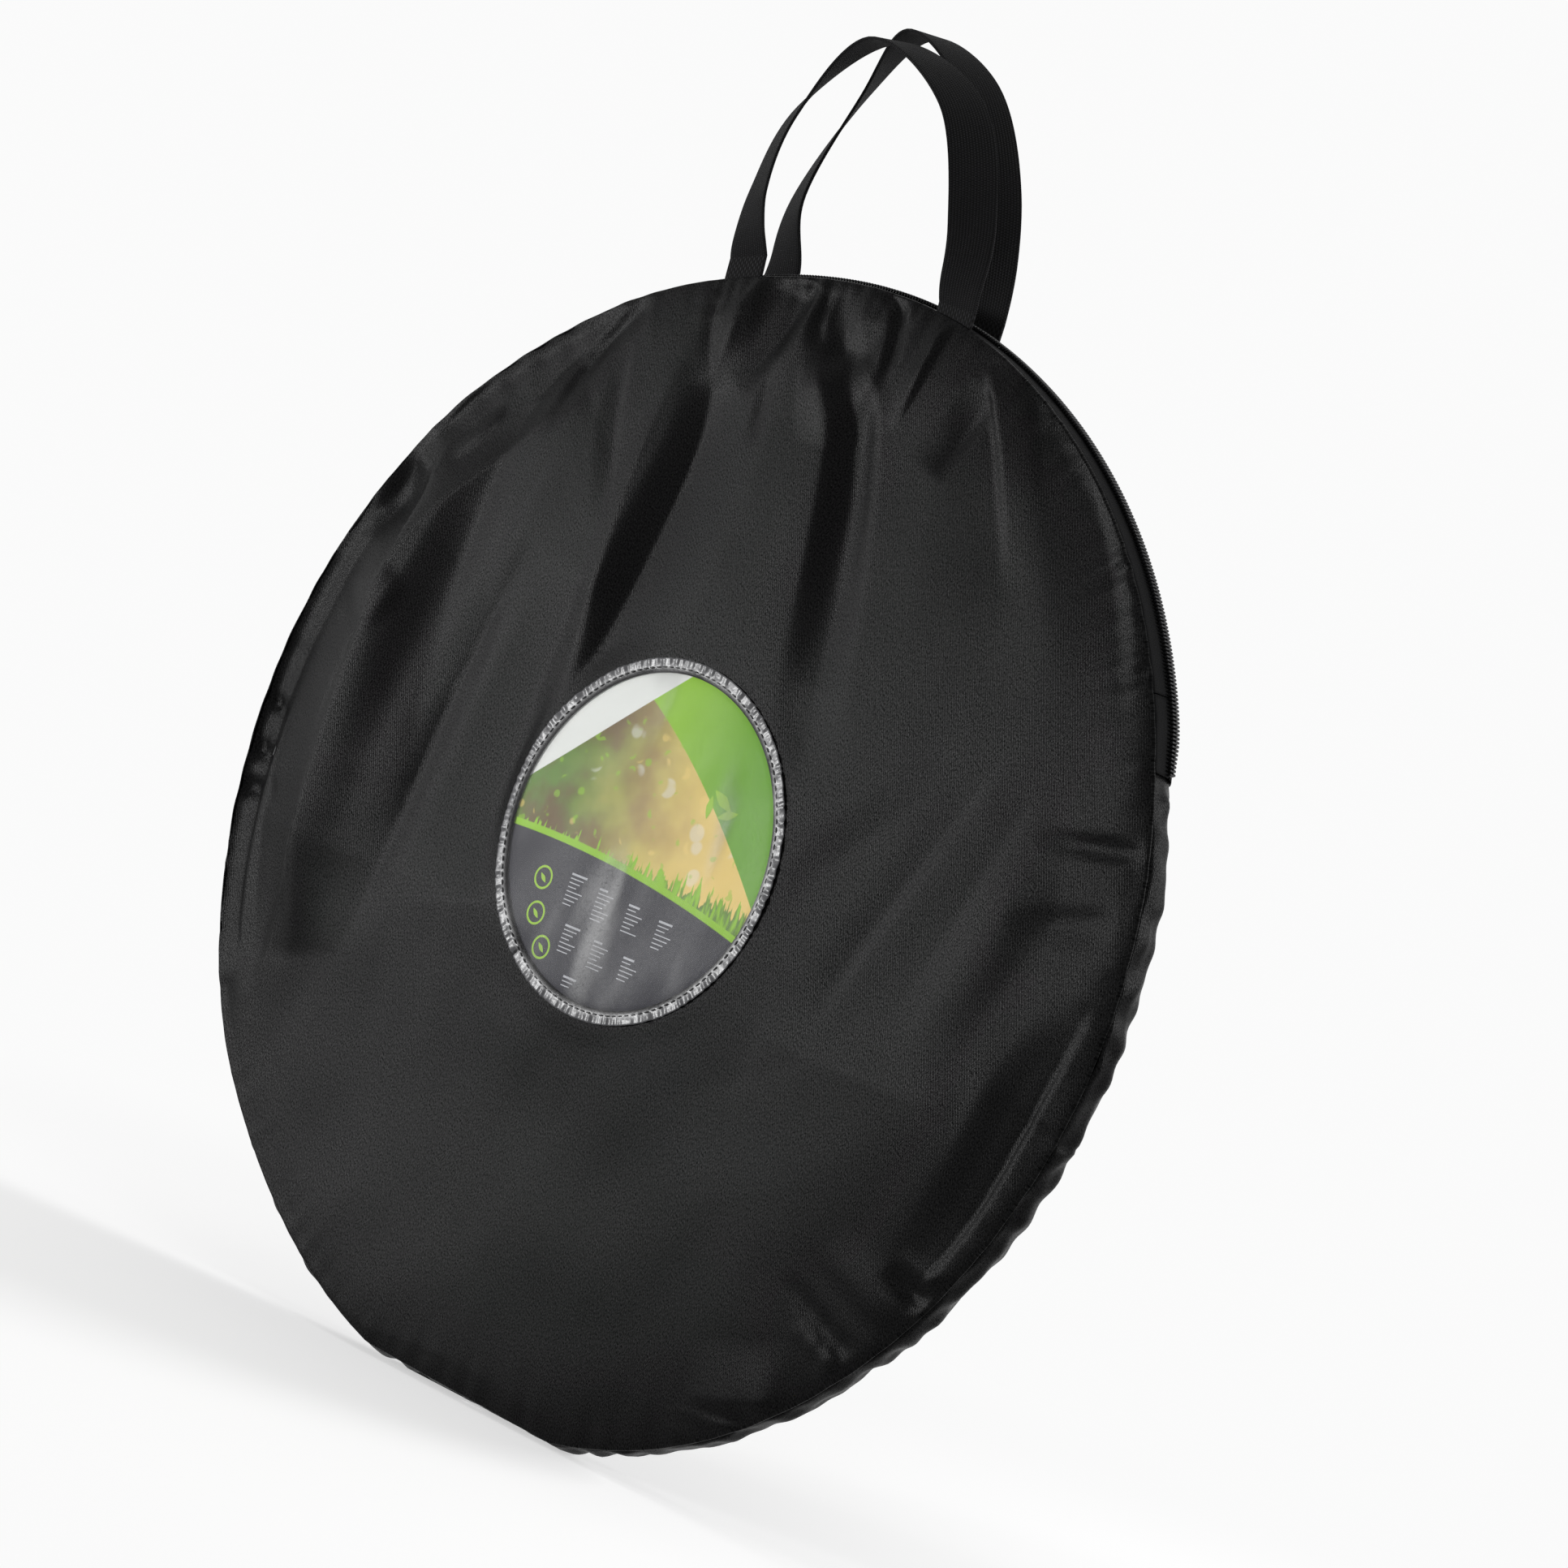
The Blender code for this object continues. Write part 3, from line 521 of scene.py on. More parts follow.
@dataclass(frozen=True)
class Drape:
    """One panel's cloth surface: the crown of the case with its folds, gathers and puckers.

    slack, crimp and pucker say how high waves are, in millimetres, how long, and for the last two
    how far in they reach from the rim. gather and even_part are an angle on the rim and a spread,
    in degrees: crimp belongs to the one, and pucker is lower by even_out at the other.
    """

    form: CaseForm
    side: Side
    folds: tuple[Fold, ...]
    seed: int
    edge_fade: float = 9.0
    edge_keep: float = 0.25
    calm_radius: float = 86.0
    calm_fade: float = 22.0
    calm_keep: float = 0.35
    most: float = 15.0
    slack: tuple[tuple[float, float], ...] = ((0.22, 80), (0.03, 26))
    gather: tuple[float, float] = (90, 17)
    crimp: tuple[float, float, float] = (0.9, 7.5, 13)
    pucker: tuple[float, float, float] = (0.75, 13, 9)
    even_part: tuple[float, float] = (-125, 35)
    even_out: float = 0.5

    def relief(self, x: Array, z: Array) -> Array:
        """How far the cloth stands off the plain crown at these points.

        Args:
            x: places across the panel, in millimetres.
            z: places up the panel, in millimetres.

        Returns:
            The height at each place, in millimetres.
        """
        distance, angle = np.hypot(x, z), np.arctan2(z, x)
        degrees = np.degrees(angle)
        total = sum(fold.relief(x, z) for fold in self.folds)
        for index, (height, length) in enumerate(self.slack):
            total += height * waves(x, z, length, self.seed + index)
        out = self.form.outer(self.side) * self.form.rim_share(angle) - distance
        ring = self.form.radius * np.cos(angle), self.form.radius * np.sin(angle)
        height, length, reach = self.crimp
        crimp = waves(*ring, length, self.seed + 2) * np.exp(-np.clip(out, 0, None) / reach)
        total += height * bell(degrees, *self.gather) * crimp
        height, length, reach = self.pucker
        pucker = waves(*ring, length, self.seed + 3) * np.exp(-np.clip(out, 0, None) / reach)
        total += (height - self.even_out * bell(degrees, *self.even_part)) * pucker
        total = np.where(total > 0, self.most * np.tanh(total / self.most), total)
        edge = np.clip(out / self.edge_fade, 0, 1)
        calm = np.clip((distance - self.calm_radius) / self.calm_fade, 0, 1)
        keep = self.edge_keep + (1 - self.edge_keep) * edge * (2 - edge)
        if self.side is Side.FRONT:
            keep *= self.calm_keep + (1 - self.calm_keep) * calm * calm * (3 - 2 * calm)
        return total * keep

    def depth(self, x: Array, z: Array) -> Array:
        """Signed depth of the cloth's outer face.

        Args:
            x: places across the panel, in millimetres.
            z: places up the panel, in millimetres.

        Returns:
            The depth at each place, less than 0 at the front.
        """
        distance = np.hypot(x, z) / self.form.rim_share(np.arctan2(z, x))
        plain = self.form.crown_depth(distance, self.form.outer(self.side))
        out = np.maximum(plain + self.relief(x, z), self.form.least_depth(x, z))
        return self.side.value * out

    def cover(self, name: str, radii: Array, steps: int, lean: float) -> bpy.types.Mesh:
        """A ring or disc of cloth laid on this surface.

        Args:
            name: the mesh's name.
            radii: its rings, in millimetres.
            steps: cells round each ring.
            lean: how much closer together the cells lie at the top than at the bottom.

        Returns:
            The mesh in the part's frame.
        """
        form, rim = self.form, self.form.outer(self.side)
        mesh = disc_mesh(name, [radius * MM for radius in radii], steps)
        flat = corners_of(mesh) / MM
        distance, angle = np.hypot(flat[:, 0], flat[:, 2]), np.arctan2(flat[:, 2], flat[:, 0])
        angle = angle + lean * np.cos(angle)
        turn = np.clip(distance - rim, 0, None) / form.roll
        distance = np.minimum(distance, rim) * (1 - form.roll / rim)
        share = np.clip((distance - self.calm_radius) / (rim - self.calm_radius), 0, 1)
        distance = distance * (1 + (form.rim_share(angle) - 1) * share)
        x, z = distance * np.cos(angle), distance * np.sin(angle)
        depth = self.depth(x, z) - self.side.value * form.roll * (1 - np.cos(turn))
        beyond = form.roll * np.sin(turn)
        points = np.stack([x + beyond * np.cos(angle), depth, z + beyond * np.sin(angle)], 1)
        if self.side is Side.REAR:
            mesh.flip_normals()
        move_corners(mesh, self.form.set_down(points))
        write_uv(mesh, x * MM, z * MM)
        return mesh


# Finishes


Socket = bpy.types.NodeSocket
Value = float | Socket
Colour = tuple[float, float, float]


class Shading:
    """Builds the node tree of one material around its Principled shader."""

    def __init__(self, name: str) -> None:
        """Starts a material of this name.

        Args:
            name: the material's name.
        """
        self.material = bpy.data.materials.new(name)
        self.material.use_nodes = True
        self.tree = self.material.node_tree
        self.shader = self.tree.nodes["Principled BSDF"]

    def node(self, kind: str, **settings: object) -> bpy.types.Node:
        """Adds a node and sets its properties.

        Args:
            kind: the node's type.
            settings: its properties.

        Returns:
            The node.
        """
        made = self.tree.nodes.new(kind)
        for key, value in settings.items():
            setattr(made, key, value)
        return made

    def feed(self, socket: Socket, value: object) -> None:
        """Links a socket to another, or sets it to a plain value.

        Args:
            socket: an input.
            value: the output or the value that it takes.
        """
        if isinstance(value, bpy.types.NodeSocket):
            self.tree.links.new(value, socket)
        else:
            socket.default_value = value

    def set(self, **sockets: object) -> Shading:
        """Feeds the Principled shader's sockets, named with _ for each space.

        Args:
            sockets: an output or a value for each input.

        Returns:
            The same material, under way.
        """
        for key, value in sockets.items():
            if isinstance(value, tuple) and len(value) == 3:
                value = (*value, 1)
            self.feed(self.shader.inputs[key.replace("_", " ")], value)
        return self

    def math(self, operation: str, *values: Value) -> Socket:
        """A Math node's result.

        Args:
            operation: the node's operation.
            values: what its inputs take.

        Returns:
            The node's output.
        """
        made = self.node("ShaderNodeMath", operation=operation)
        for socket, value in zip(made.inputs, values):
            self.feed(socket, value)
        return made.outputs[0]

    def mixed(self, share: Value, first: Colour | Socket, second: Colour | Socket) -> Socket:
        """Two colours mixed by share.

        Args:
            share: how much of the second colour shows.
            first: the colour at 0.
            second: the colour at 1.

        Returns:
            The node's output.
        """
        made = self.node("ShaderNodeMix", data_type="RGBA")
        self.feed(made.inputs[0], share)
        for index, value in ((6, first), (7, second)):
            self.feed(made.inputs[index], (*value, 1) if isinstance(value, tuple) else value)
        return made.outputs[2]

    def shades(self, share: Value, colour: Colour, low: float, high: float) -> Socket:
        """A colour that goes from low to high times its own strength."""
        return self.mixed(share, *(tuple(min(part * by, 1) for part in colour) for by in (low, high)))

    def between(self, value: Value, low: float, high: float, to: tuple[float, float] = (0, 1)) -> Socket:
        """Maps a range of value smoothly to another range.

        Args:
            value: what is read.
            low: where the range starts.
            high: where it ends.
            to: the range that it becomes.

        Returns:
            The node's output.
        """
        made = self.node("ShaderNodeMapRange", interpolation_type="SMOOTHSTEP")
        for socket, given in zip(made.inputs, (value, low, high, *to)):
            self.feed(socket, given)
        return made.outputs[0]

    def uv(self) -> Socket:
        """The piece's UV map, in metres."""
        return self.node("ShaderNodeUVMap", uv_map=UV_NAME).outputs[0]

    def place(self) -> Socket:
        """Object coordinates."""
        return self.node("ShaderNodeTexCoord").outputs["Object"]

    def split(self, vector: Socket) -> list[Socket]:
        """A vector's three parts.

        Args:
            vector: the coordinates.

        Returns:
            The parts' outputs.
        """
        made = self.node("ShaderNodeSeparateXYZ")
        self.feed(made.inputs[0], vector)
        return list(made.outputs)

    def stretched(self, vector: Socket, scale: Colour, turn: float = 0.0) -> Socket:
        """A vector turned about Z and scaled.

        Args:
            vector: the coordinates.
            scale: how much along each axis.
            turn: in radians.

        Returns:
            The node's output.
        """
        made = self.node("ShaderNodeMapping")
        self.feed(made.inputs["Vector"], vector)
        made.inputs["Scale"].default_value = scale
        made.inputs["Rotation"].default_value = (0, 0, turn)
        return made.outputs[0]

    def noise(self, vector: Socket, scale: float, detail: float = 2.0) -> Socket:
        """A Noise texture's value.

        Args:
            vector: the coordinates.
            scale: lumps in a unit of length.
            detail: how many finer layers it has.

        Returns:
            The node's output.
        """
        made = self.node("ShaderNodeTexNoise")
        self.feed(made.inputs["Vector"], vector)
        made.inputs["Scale"].default_value = scale
        made.inputs["Detail"].default_value = detail
        return made.outputs[0]

    def stripes(self, value: Value, pitch: float, phase: Value = 0.0) -> Socket:
        """A sine wave of value, between 0 and 1."""
        turned = self.math("MULTIPLY_ADD", value, FULL_TURN / pitch, phase)
        return self.math("MULTIPLY_ADD", self.math("SINE", turned), 0.5, 0.5)

    def bump(self, height: Socket, depth: float) -> None:
        """Gives the surface this relief, where 1 stands for depth in metres.

        Args:
            height: relief between 0 and 1.
            depth: in metres.
        """
        made = self.node("ShaderNodeBump")
        made.inputs["Distance"].default_value = depth
        self.feed(made.inputs["Height"], height)
        self.feed(self.shader.inputs["Normal"], made.outputs[0])


@dataclass(frozen=True)
class WovenCloth:
    """Thin woven polyester with a twill line and a satin gloss."""

    name: str
    colour: Colour = (0.0014, 0.0014, 0.0015)
    roughness: float = 0.35
    specular: float = 0.054
    pitch: float = 0.9 * MM
    depth: float = 0.05 * MM
    grain: float = 1.1
    slant: float = 0.45
    slub: Colour = (900, 140, 1)
    fleck: Colour = (1500, 950, 1)
    drift: Colour = (70, 9, 1)
    unevenness: float = 0.03

    def made(self) -> bpy.types.Material:
        """The material.

        Returns:
            The material.
        """
        look = Shading(self.name)
        uv = look.uv()
        across, along, _ = look.split(uv)
        slant = look.math("MULTIPLY_ADD", along, self.slant, across)
        twill = look.stripes(slant, self.pitch)
        yarn = look.stripes(along, self.pitch * 0.55)
        weave = look.math("MULTIPLY_ADD", yarn, 0.35, twill)
        slub = look.noise(look.stretched(uv, self.slub), 1, 3)
        look.bump(look.math("MULTIPLY_ADD", slub, 0.9, weave), self.depth)
        fleck = look.noise(look.stretched(uv, self.fleck, 0.35), 1, 2)
        glint = look.math("MULTIPLY_ADD", look.math("SUBTRACT", fleck, 0.5), 4 * self.grain, 1.0)
        drift = look.noise(look.stretched(uv, self.drift), 1, 3)
        handled = look.noise(uv, 16, 3)
        shade = look.math("MULTIPLY_ADD", handled, 0.6, look.math("MULTIPLY", drift, 0.4))
        rough = (self.roughness - self.unevenness, self.roughness + self.unevenness)
        look.set(
            Base_Color=look.shades(look.between(shade, 0.3, 0.7), self.colour, 0.75, 1.35),
            Roughness=look.between(shade, 0.25, 0.75, rough),
            Specular_IOR_Level=look.math("MULTIPLY", look.math("MAXIMUM", glint, 0.15), self.specular),
        )
        return look.material


@dataclass(frozen=True)
class WovenBand:
    """Ribbed webbing, tape or elastic: rows of thread along and across it, with painted shade between."""

    name: str
    colour: Colour
    across_pitch: float
    along_pitch: float
    depth: float
    roughness: float = 0.7
    specular: float = 0.06

    def made(self) -> bpy.types.Material:
        """The material.

        Returns:
            The material.
        """
        look = Shading(self.name)
        uv = look.uv()
        across, along, _ = look.split(uv)
        fuzz = look.noise(look.stretched(uv, (2600, 2600, 1)), 1, 2)
        row = look.math("ROUND", look.math("DIVIDE", across, self.across_pitch))
        shift = look.math("MULTIPLY", row, math.pi)
        thread = look.stripes(across, self.across_pitch)
        rib = look.stripes(along, self.along_pitch, shift)
        weave = look.math("MULTIPLY", look.math("POWER", thread, 0.5), look.math("POWER", rib, 0.7))
        look.bump(look.math("MULTIPLY_ADD", fuzz, 0.25, weave), self.depth)
        worn = look.noise(uv, 45, 4)
        # shade paints shade and highlight into the colour: darker in the weave's grooves, lighter on its
        # ribs, with random wear from worn.
        shade = look.math("MULTIPLY_ADD", weave, 0.85, look.math("MULTIPLY", worn, 0.3))
        look.set(
            Base_Color=look.shades(look.between(shade, 0.2, 1.0), self.colour, 0.12, 2.4),
            Roughness=self.roughness,
            Specular_IOR_Level=self.specular,
        )
        return look.material


@dataclass(frozen=True)
class SmoothSolid:
    """Moulded plastic, nylon, thread or metal, with fine unevenness and a little wear."""

    name: str
    colour: Colour
    roughness: float
    metallic: float = 0.0
    specular: float = 0.5
    grain: float = 900.0
    depth: float = 0.02 * MM
    wear: float = 0.25

    def made(self) -> bpy.types.Material:
        """The material.

        Returns:
            The material.
        """
        look = Shading(self.name)
        place = look.place()
        fine = look.noise(place, self.grain, 3)
        broad = look.noise(place, self.grain / 12, 3)
        look.bump(fine, self.depth)
        low, high = self.roughness * 0.85, min(self.roughness * 1.2, 1)
        share = look.between(broad, 0.35, 0.65)
        look.set(
            Base_Color=look.shades(share, self.colour, 1 - self.wear, 1 + self.wear),
            Roughness=look.between(broad, 0.3, 0.7, (low, high)),
            Metallic=self.metallic,
            Specular_IOR_Level=self.specular,
        )
        return look.material


@dataclass(frozen=True)
class ClearSheet:
    """Clear soft film, seen through; glossier at flat angles, at creases and in painted gloss streaks."""

    name: str = "clear_soft_film"
    tint: Colour = (0.03, 0.03, 0.032)
    roughness: float = 0.34
    haze: float = 0.07
    crease_haze: float = 0.78
    painted_gloss: float = 0.2
    crease_tint: Colour = (0.06, 0.06, 0.064)
    crease_start: float = 85.5 * MM
    crease_end: float = 89.5 * MM

    def made(self) -> bpy.types.Material:
        """The material.

        Returns:
            The material.
        """
        look = Shading(self.name)
        uv = look.uv()
        across, along, _ = look.split(uv)
        squares = [look.math("MULTIPLY", part, part) for part in (across, along)]
        distance = look.math("SQRT", look.math("ADD", *squares))
        margin = look.between(distance, self.crease_start, self.crease_end)
        ripple = look.noise(look.stretched(uv, (300, 300, 1)), 1, 2)
        look.bump(ripple, 0.25 * MM)
        colour = look.mixed(margin, self.tint, self.crease_tint)
        look.set(Base_Color=colour, Roughness=self.roughness, Specular_IOR_Level=0.5)
        # Noise streaks where the film turns more opaque are a painted reflection: gloss bands that no lamp
        # casts.
        gloss_streak = look.noise(look.stretched(uv, (26, 7, 1), 0.5), 1, 2)
        gloss = look.math("MULTIPLY", look.between(gloss_streak, 0.52, 0.72), self.painted_gloss)
        body = look.math("MULTIPLY_ADD", margin, self.crease_haze, self.haze)
        cover = look.math("MINIMUM", look.math("ADD", body, gloss), 1.0)
        clear = look.node("ShaderNodeBsdfTransparent")
        mix = look.node("ShaderNodeMixShader")
        look.feed(mix.inputs[0], cover)
        look.feed(mix.inputs[1], clear.outputs[0])
        look.feed(mix.inputs[2], look.shader.outputs[0])
        out = look.tree.nodes["Material Output"]
        look.feed(out.inputs["Surface"], mix.outputs[0])
        return look.material


@dataclass(frozen=True)
class PrintedSheet:
    """The card behind the window: plain colour fields and out-of-focus leaves of no one's design.

    Heights and places are in metres about the middle of the window. A sloping edge is given as
    its slope and its height at the middle.
    """

    name: str = "printed_card"
    pale: Colour = (0.74, 0.76, 0.73)
    lime: Colour = (0.25, 0.5, 0.012)
    deep_lime: Colour = (0.12, 0.33, 0.01)
    gold: Colour = (0.75, 0.55, 0.16)
    leaf: Colour = (0.1, 0.2, 0.02)
    earth: Colour = (0.13, 0.085, 0.03)
    slate: Colour = (0.012, 0.012, 0.02)
    lime_edge: tuple[float, float] = (-0.62, 0.056)
    pale_edge: tuple[float, float] = (0.9, 0.088)
    slate_edge: tuple[float, float] = (-0.1, -0.017)
    bend: float = 2.2
    stripe: float = 0.0035

    def field(self, look: Shading, value: Socket, edge: float = 0.0, soft: float = 0.0004) -> Socket:
        """A factor that goes from 0 to 1 where value passes edge."""
        return look.between(value, edge - soft, edge + soft)

    def above(self, look: Shading, x: Socket, z: Socket, edge: tuple[float, float]) -> Socket:
        """How far z lies above a sloping edge."""
        return look.math("SUBTRACT", z, look.math("MULTIPLY_ADD", x, *edge))

    def spotted(self, look: Shading, uv: Socket, under: Socket) -> Socket:
        """Lays soft spots of light over a picture.

        Args:
            look: the material under way.
            uv: the piece's UV map.
            under: the picture.

        Returns:
            The picture with its spots.
        """
        spots = ((95, self.gold, 0.5, 0.013), (60, self.pale, 0.35, 0.037), (130, self.lime, 0.55, 0.071))
        for scale, colour, share, shift in spots:
            cells = look.node("ShaderNodeTexVoronoi")
            moved = look.node("ShaderNodeVectorMath", operation="ADD")
            look.feed(moved.inputs[0], uv)
            moved.inputs[1].default_value = (shift, shift * 2, 0)
            look.feed(cells.inputs["Vector"], moved.outputs[0])
            cells.inputs["Scale"].default_value = scale
            disc = look.math("SUBTRACT", 1.0, look.between(cells.outputs["Distance"], 0.26, 0.34))
            chosen = look.between(look.noise(moved.outputs[0], scale * 0.8, 1), 0.52, 0.58)
            cover = look.math("MULTIPLY", look.math("MULTIPLY", disc, chosen), share)
            under = look.mixed(cover, under, colour)
        return under

    def picture(self, look: Shading, uv: Socket, x: Socket, z: Socket) -> Socket:
        """The blurred garden in the card's middle: earth, leaves, low sun and grass.

        Args:
            look: the material under way.
            uv: the piece's UV map.
            x: places across the card, in metres.
            z: places up the card, in metres.

        Returns:
            The picture's colour.
        """
        broad = look.noise(uv, 26, 3)
        sunward = look.math("MULTIPLY", look.math("ADD", x, -0.005), 9)
        glow = look.between(look.math("ADD", sunward, look.math("MULTIPLY", broad, 0.9)), -0.15, 0.95)
        shaded = look.mixed(look.between(broad, 0.38, 0.62), self.earth, self.leaf)
        photo = self.spotted(look, uv, look.mixed(glow, shaded, self.gold))
        blades = look.noise(look.stretched(uv, (420, 60, 1), 0.25), 1, 2)
        tips = look.math("MULTIPLY_ADD", blades, 0.04, -0.033)
        grass = look.math("SUBTRACT", 1.0, self.field(look, look.math("SUBTRACT", z, tips), soft=0.0012))
        return look.mixed(grass, photo, look.mixed(look.between(blades, 0.4, 0.62), self.leaf, self.lime))

    def made(self) -> bpy.types.Material:
        """The material, drawn on the UV map about the middle of the window.

        Returns:
            The material.
        """
        look = Shading(self.name)
        uv = look.uv()
        x, z, _ = look.split(uv)
        sweep = look.math("MULTIPLY", look.math("MULTIPLY", x, x), self.bend)
        band = self.field(look, look.math("ADD", self.above(look, x, z, self.lime_edge), sweep))
        limes = look.mixed(look.between(x, -0.02, 0.07), self.lime, self.deep_lime)
        body = look.mixed(band, self.picture(look, uv, x, z), limes)
        corner = self.field(look, self.above(look, x, z, self.pale_edge))
        body = look.mixed(corner, body, self.pale)
        floor = look.math("MULTIPLY_ADD", x, *self.slate_edge)
        floor = look.math("SUBTRACT", floor, look.math("MULTIPLY", sweep, 0.35))
        under = look.math("SUBTRACT", floor, z)
        body = look.mixed(self.field(look, under, -self.stripe), body, self.lime)
        body = look.mixed(self.field(look, under), body, self.slate)
        look.set(Base_Color=body, Roughness=0.5, Specular_IOR_Level=0.06)
        return look.material


# The cloth of the case


@dataclass(frozen=True)
class FrontCloth:
    """The front panel and its flap as one sheet, gathered between the handles."""

    drape: Drape
    look: WovenCloth
    hole: float = 86.0
    rings: int = 84
    steps: int = 560
    ring_power: float = 1.4
    lean: float = 0.33
    thickness: float = 0.8 * MM
    fold_height: float = 148.9
    fold_reach: float = 12.0
    fold_depth: float = 26 * MM

    def build(self) -> None:
        """Makes the cloth."""
        form = self.drape.form
        radii = crowded(self.hole, form.radius, self.rings, self.ring_power)
        mesh = self.drape.cover("front_cloth", radii, self.steps, self.lean)
        item = piece("front_cloth", mesh, self.look.made(), ("front_panel", "mouth_flap"))
        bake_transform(item)
        thicken(item, self.thickness, -1)


@dataclass(frozen=True)
class RearCloth:
    """The rear panel."""

    drape: Drape
    look: WovenCloth
    rings: int = 74
    steps: int = 480
    ring_power: float = 1.35
    lean: float = 0.3
    thickness: float = 0.8 * MM

    def build(self) -> None:
        """Makes the cloth."""
        radii = crowded(0, self.drape.form.rear_radius, self.rings, self.ring_power)
        mesh = self.drape.cover("rear_cloth", radii, self.steps, self.lean)
        item = piece("rear_cloth", mesh, self.look.made(), ("rear_panel",), "case")
        thicken(item, self.thickness, -1)


@dataclass(frozen=True)
class Band:
    """Where the gusset and the zip lie between the two panels, in millimetres and degrees."""

    form: CaseForm
    half_width: float = 14.0
    taper: float = 11.0
    follow: float = 0.55
    zip_end: float = 22.5
    flap_end: float = 29.76
    sink: float = 2.2
    sink_spread: float = 3.2
    blend: float = 6.0

    def rim(self, angle: Array, off: Array) -> Array:
        """The band's distance from the centre at these angles, off the middle by a share.

        Args:
            angle: angles about the middle, in radians.
            off: shares of its half width.

        Returns:
            One distance for each, in millimetres.
        """
        share = self.form.rim_share(angle)
        middle = 1 + self.follow * (share - 1)
        degrees = wrapped(np.degrees(angle))
        ends = (self.zip_end, 180 - self.zip_end)
        sink = self.sink * sum(bell(degrees, end, self.sink_spread) for end in ends)
        past_right, past_left = degrees - ends[0], ends[1] - degrees
        zipped = np.clip(past_right / self.blend + 0.5, 0, 1) * np.clip(past_left / self.blend + 0.5, 0, 1)
        start = -0.55 * (1 - zipped)
        fall = self.taper * np.clip((off - start) / (1 - start), 0, 1) ** 2
        return self.form.radius * (middle + (share - middle) * off**2) - sink * (1 - off**2) - fall

    def around(self, angle: Array, distance: Array, depth: Array) -> Array:
        """Points in the part's frame from an angle, a distance and a depth."""
        points = np.stack([distance * np.cos(angle), depth, distance * np.sin(angle)], 1)
        return self.form.set_down(points)


@dataclass(frozen=True)
class GussetCloth:
    """The strip round the lower rim, with its cross seam and puckered edges."""

    band: Band
    look: WovenCloth
    cells: int = 520
    across: int = 16
    bulge: float = 1.0
    thickness: float = 0.8 * MM
    seam_angle: float = -11.6
    ripples: tuple[tuple[float, float], ...] = ((0.7, 16), (0.5, 42), (0.35, 24))
    lowest: float = 303.0
    tucks: tuple[tuple[float, float, float], ...] = (
        (5.2, 1.6, 2.6), (16.5, 1.2, 4.5), (21.5, 2.0, 3.0), (-28, 1.3, 1.6), (-41, 1.5, 1.8),
        (-52, 1.4, 1.5), (-60, 1.2, 1.4), (158.5, 2.0, 3.0), (172, 1.4, 2.4), (198, 1.4, 1.8),
        (221, 1.4, 1.6),
    )

    def place(self, share: Array, off: Array) -> Array:
        """Points for shares along and across the strip.

        Args:
            share: shares along it, from 0 to 1.
            off: shares across it, from -1 to 1.

        Returns:
            The points in the part's frame.
        """
        start = 180 - self.band.zip_end
        degrees = start + share * (360 - start + self.band.zip_end)
        angle = np.radians(degrees)
        arc = angle * self.band.form.radius
        open_share = 1 - off**2
        (short, short_length), (long, long_length), (sway, sway_length) = self.ripples
        across = off * self.band.half_width
        lift = self.bulge * open_share + short * waves(arc, across, short_length, 31) * (0.3 + open_share)
        lift += long * waves(arc, across, long_length, 32)
        for where, depth, width in self.tucks:
            lift -= depth * bell(wrapped(degrees - where), 0, width)
        seam = wrapped(degrees - self.seam_angle)
        lift -= 1.1 * bell(seam, 0, 0.28) + 0.5 * bell(seam, 0.6, 0.5)
        lift = np.where(np.abs(off) > 0.97, lift * 0.2 - 0.9, lift)
        depth = off * (self.band.half_width + sway * waves(arc, off * 0, sway_length, 33))
        distance = self.band.rim(angle, off) + lift
        low = -distance * np.sin(angle) > self.band.form.centre_height - 3
        return self.band.around(angle, np.where(low, np.minimum(distance, self.lowest), distance), depth)

    def build(self) -> None:
        """Makes the strip."""
        size = (1.18, 0.03)
        mesh = grid_mesh("gusset_cloth", self.cells, self.across, self.place, size)
        item = piece("gusset_cloth", mesh, self.look.made(), ("gusset_band",), "case")
        face_out(item, Vector((0, 0, self.band.form.centre_height * MM)))
        thicken(item, self.thickness, -1)


def face_out(item: bpy.types.Object, centre: Vector) -> None:
    """Turns an open sheet's faces away from a point.

    Args:
        item: the sheet.
        centre: the point.
    """
    mesh = item.data
    leaning = sum(face.normal.dot(face.center - centre) * face.area for face in mesh.polygons)
    if leaning < 0:
        mesh.flip_normals()


# The zip


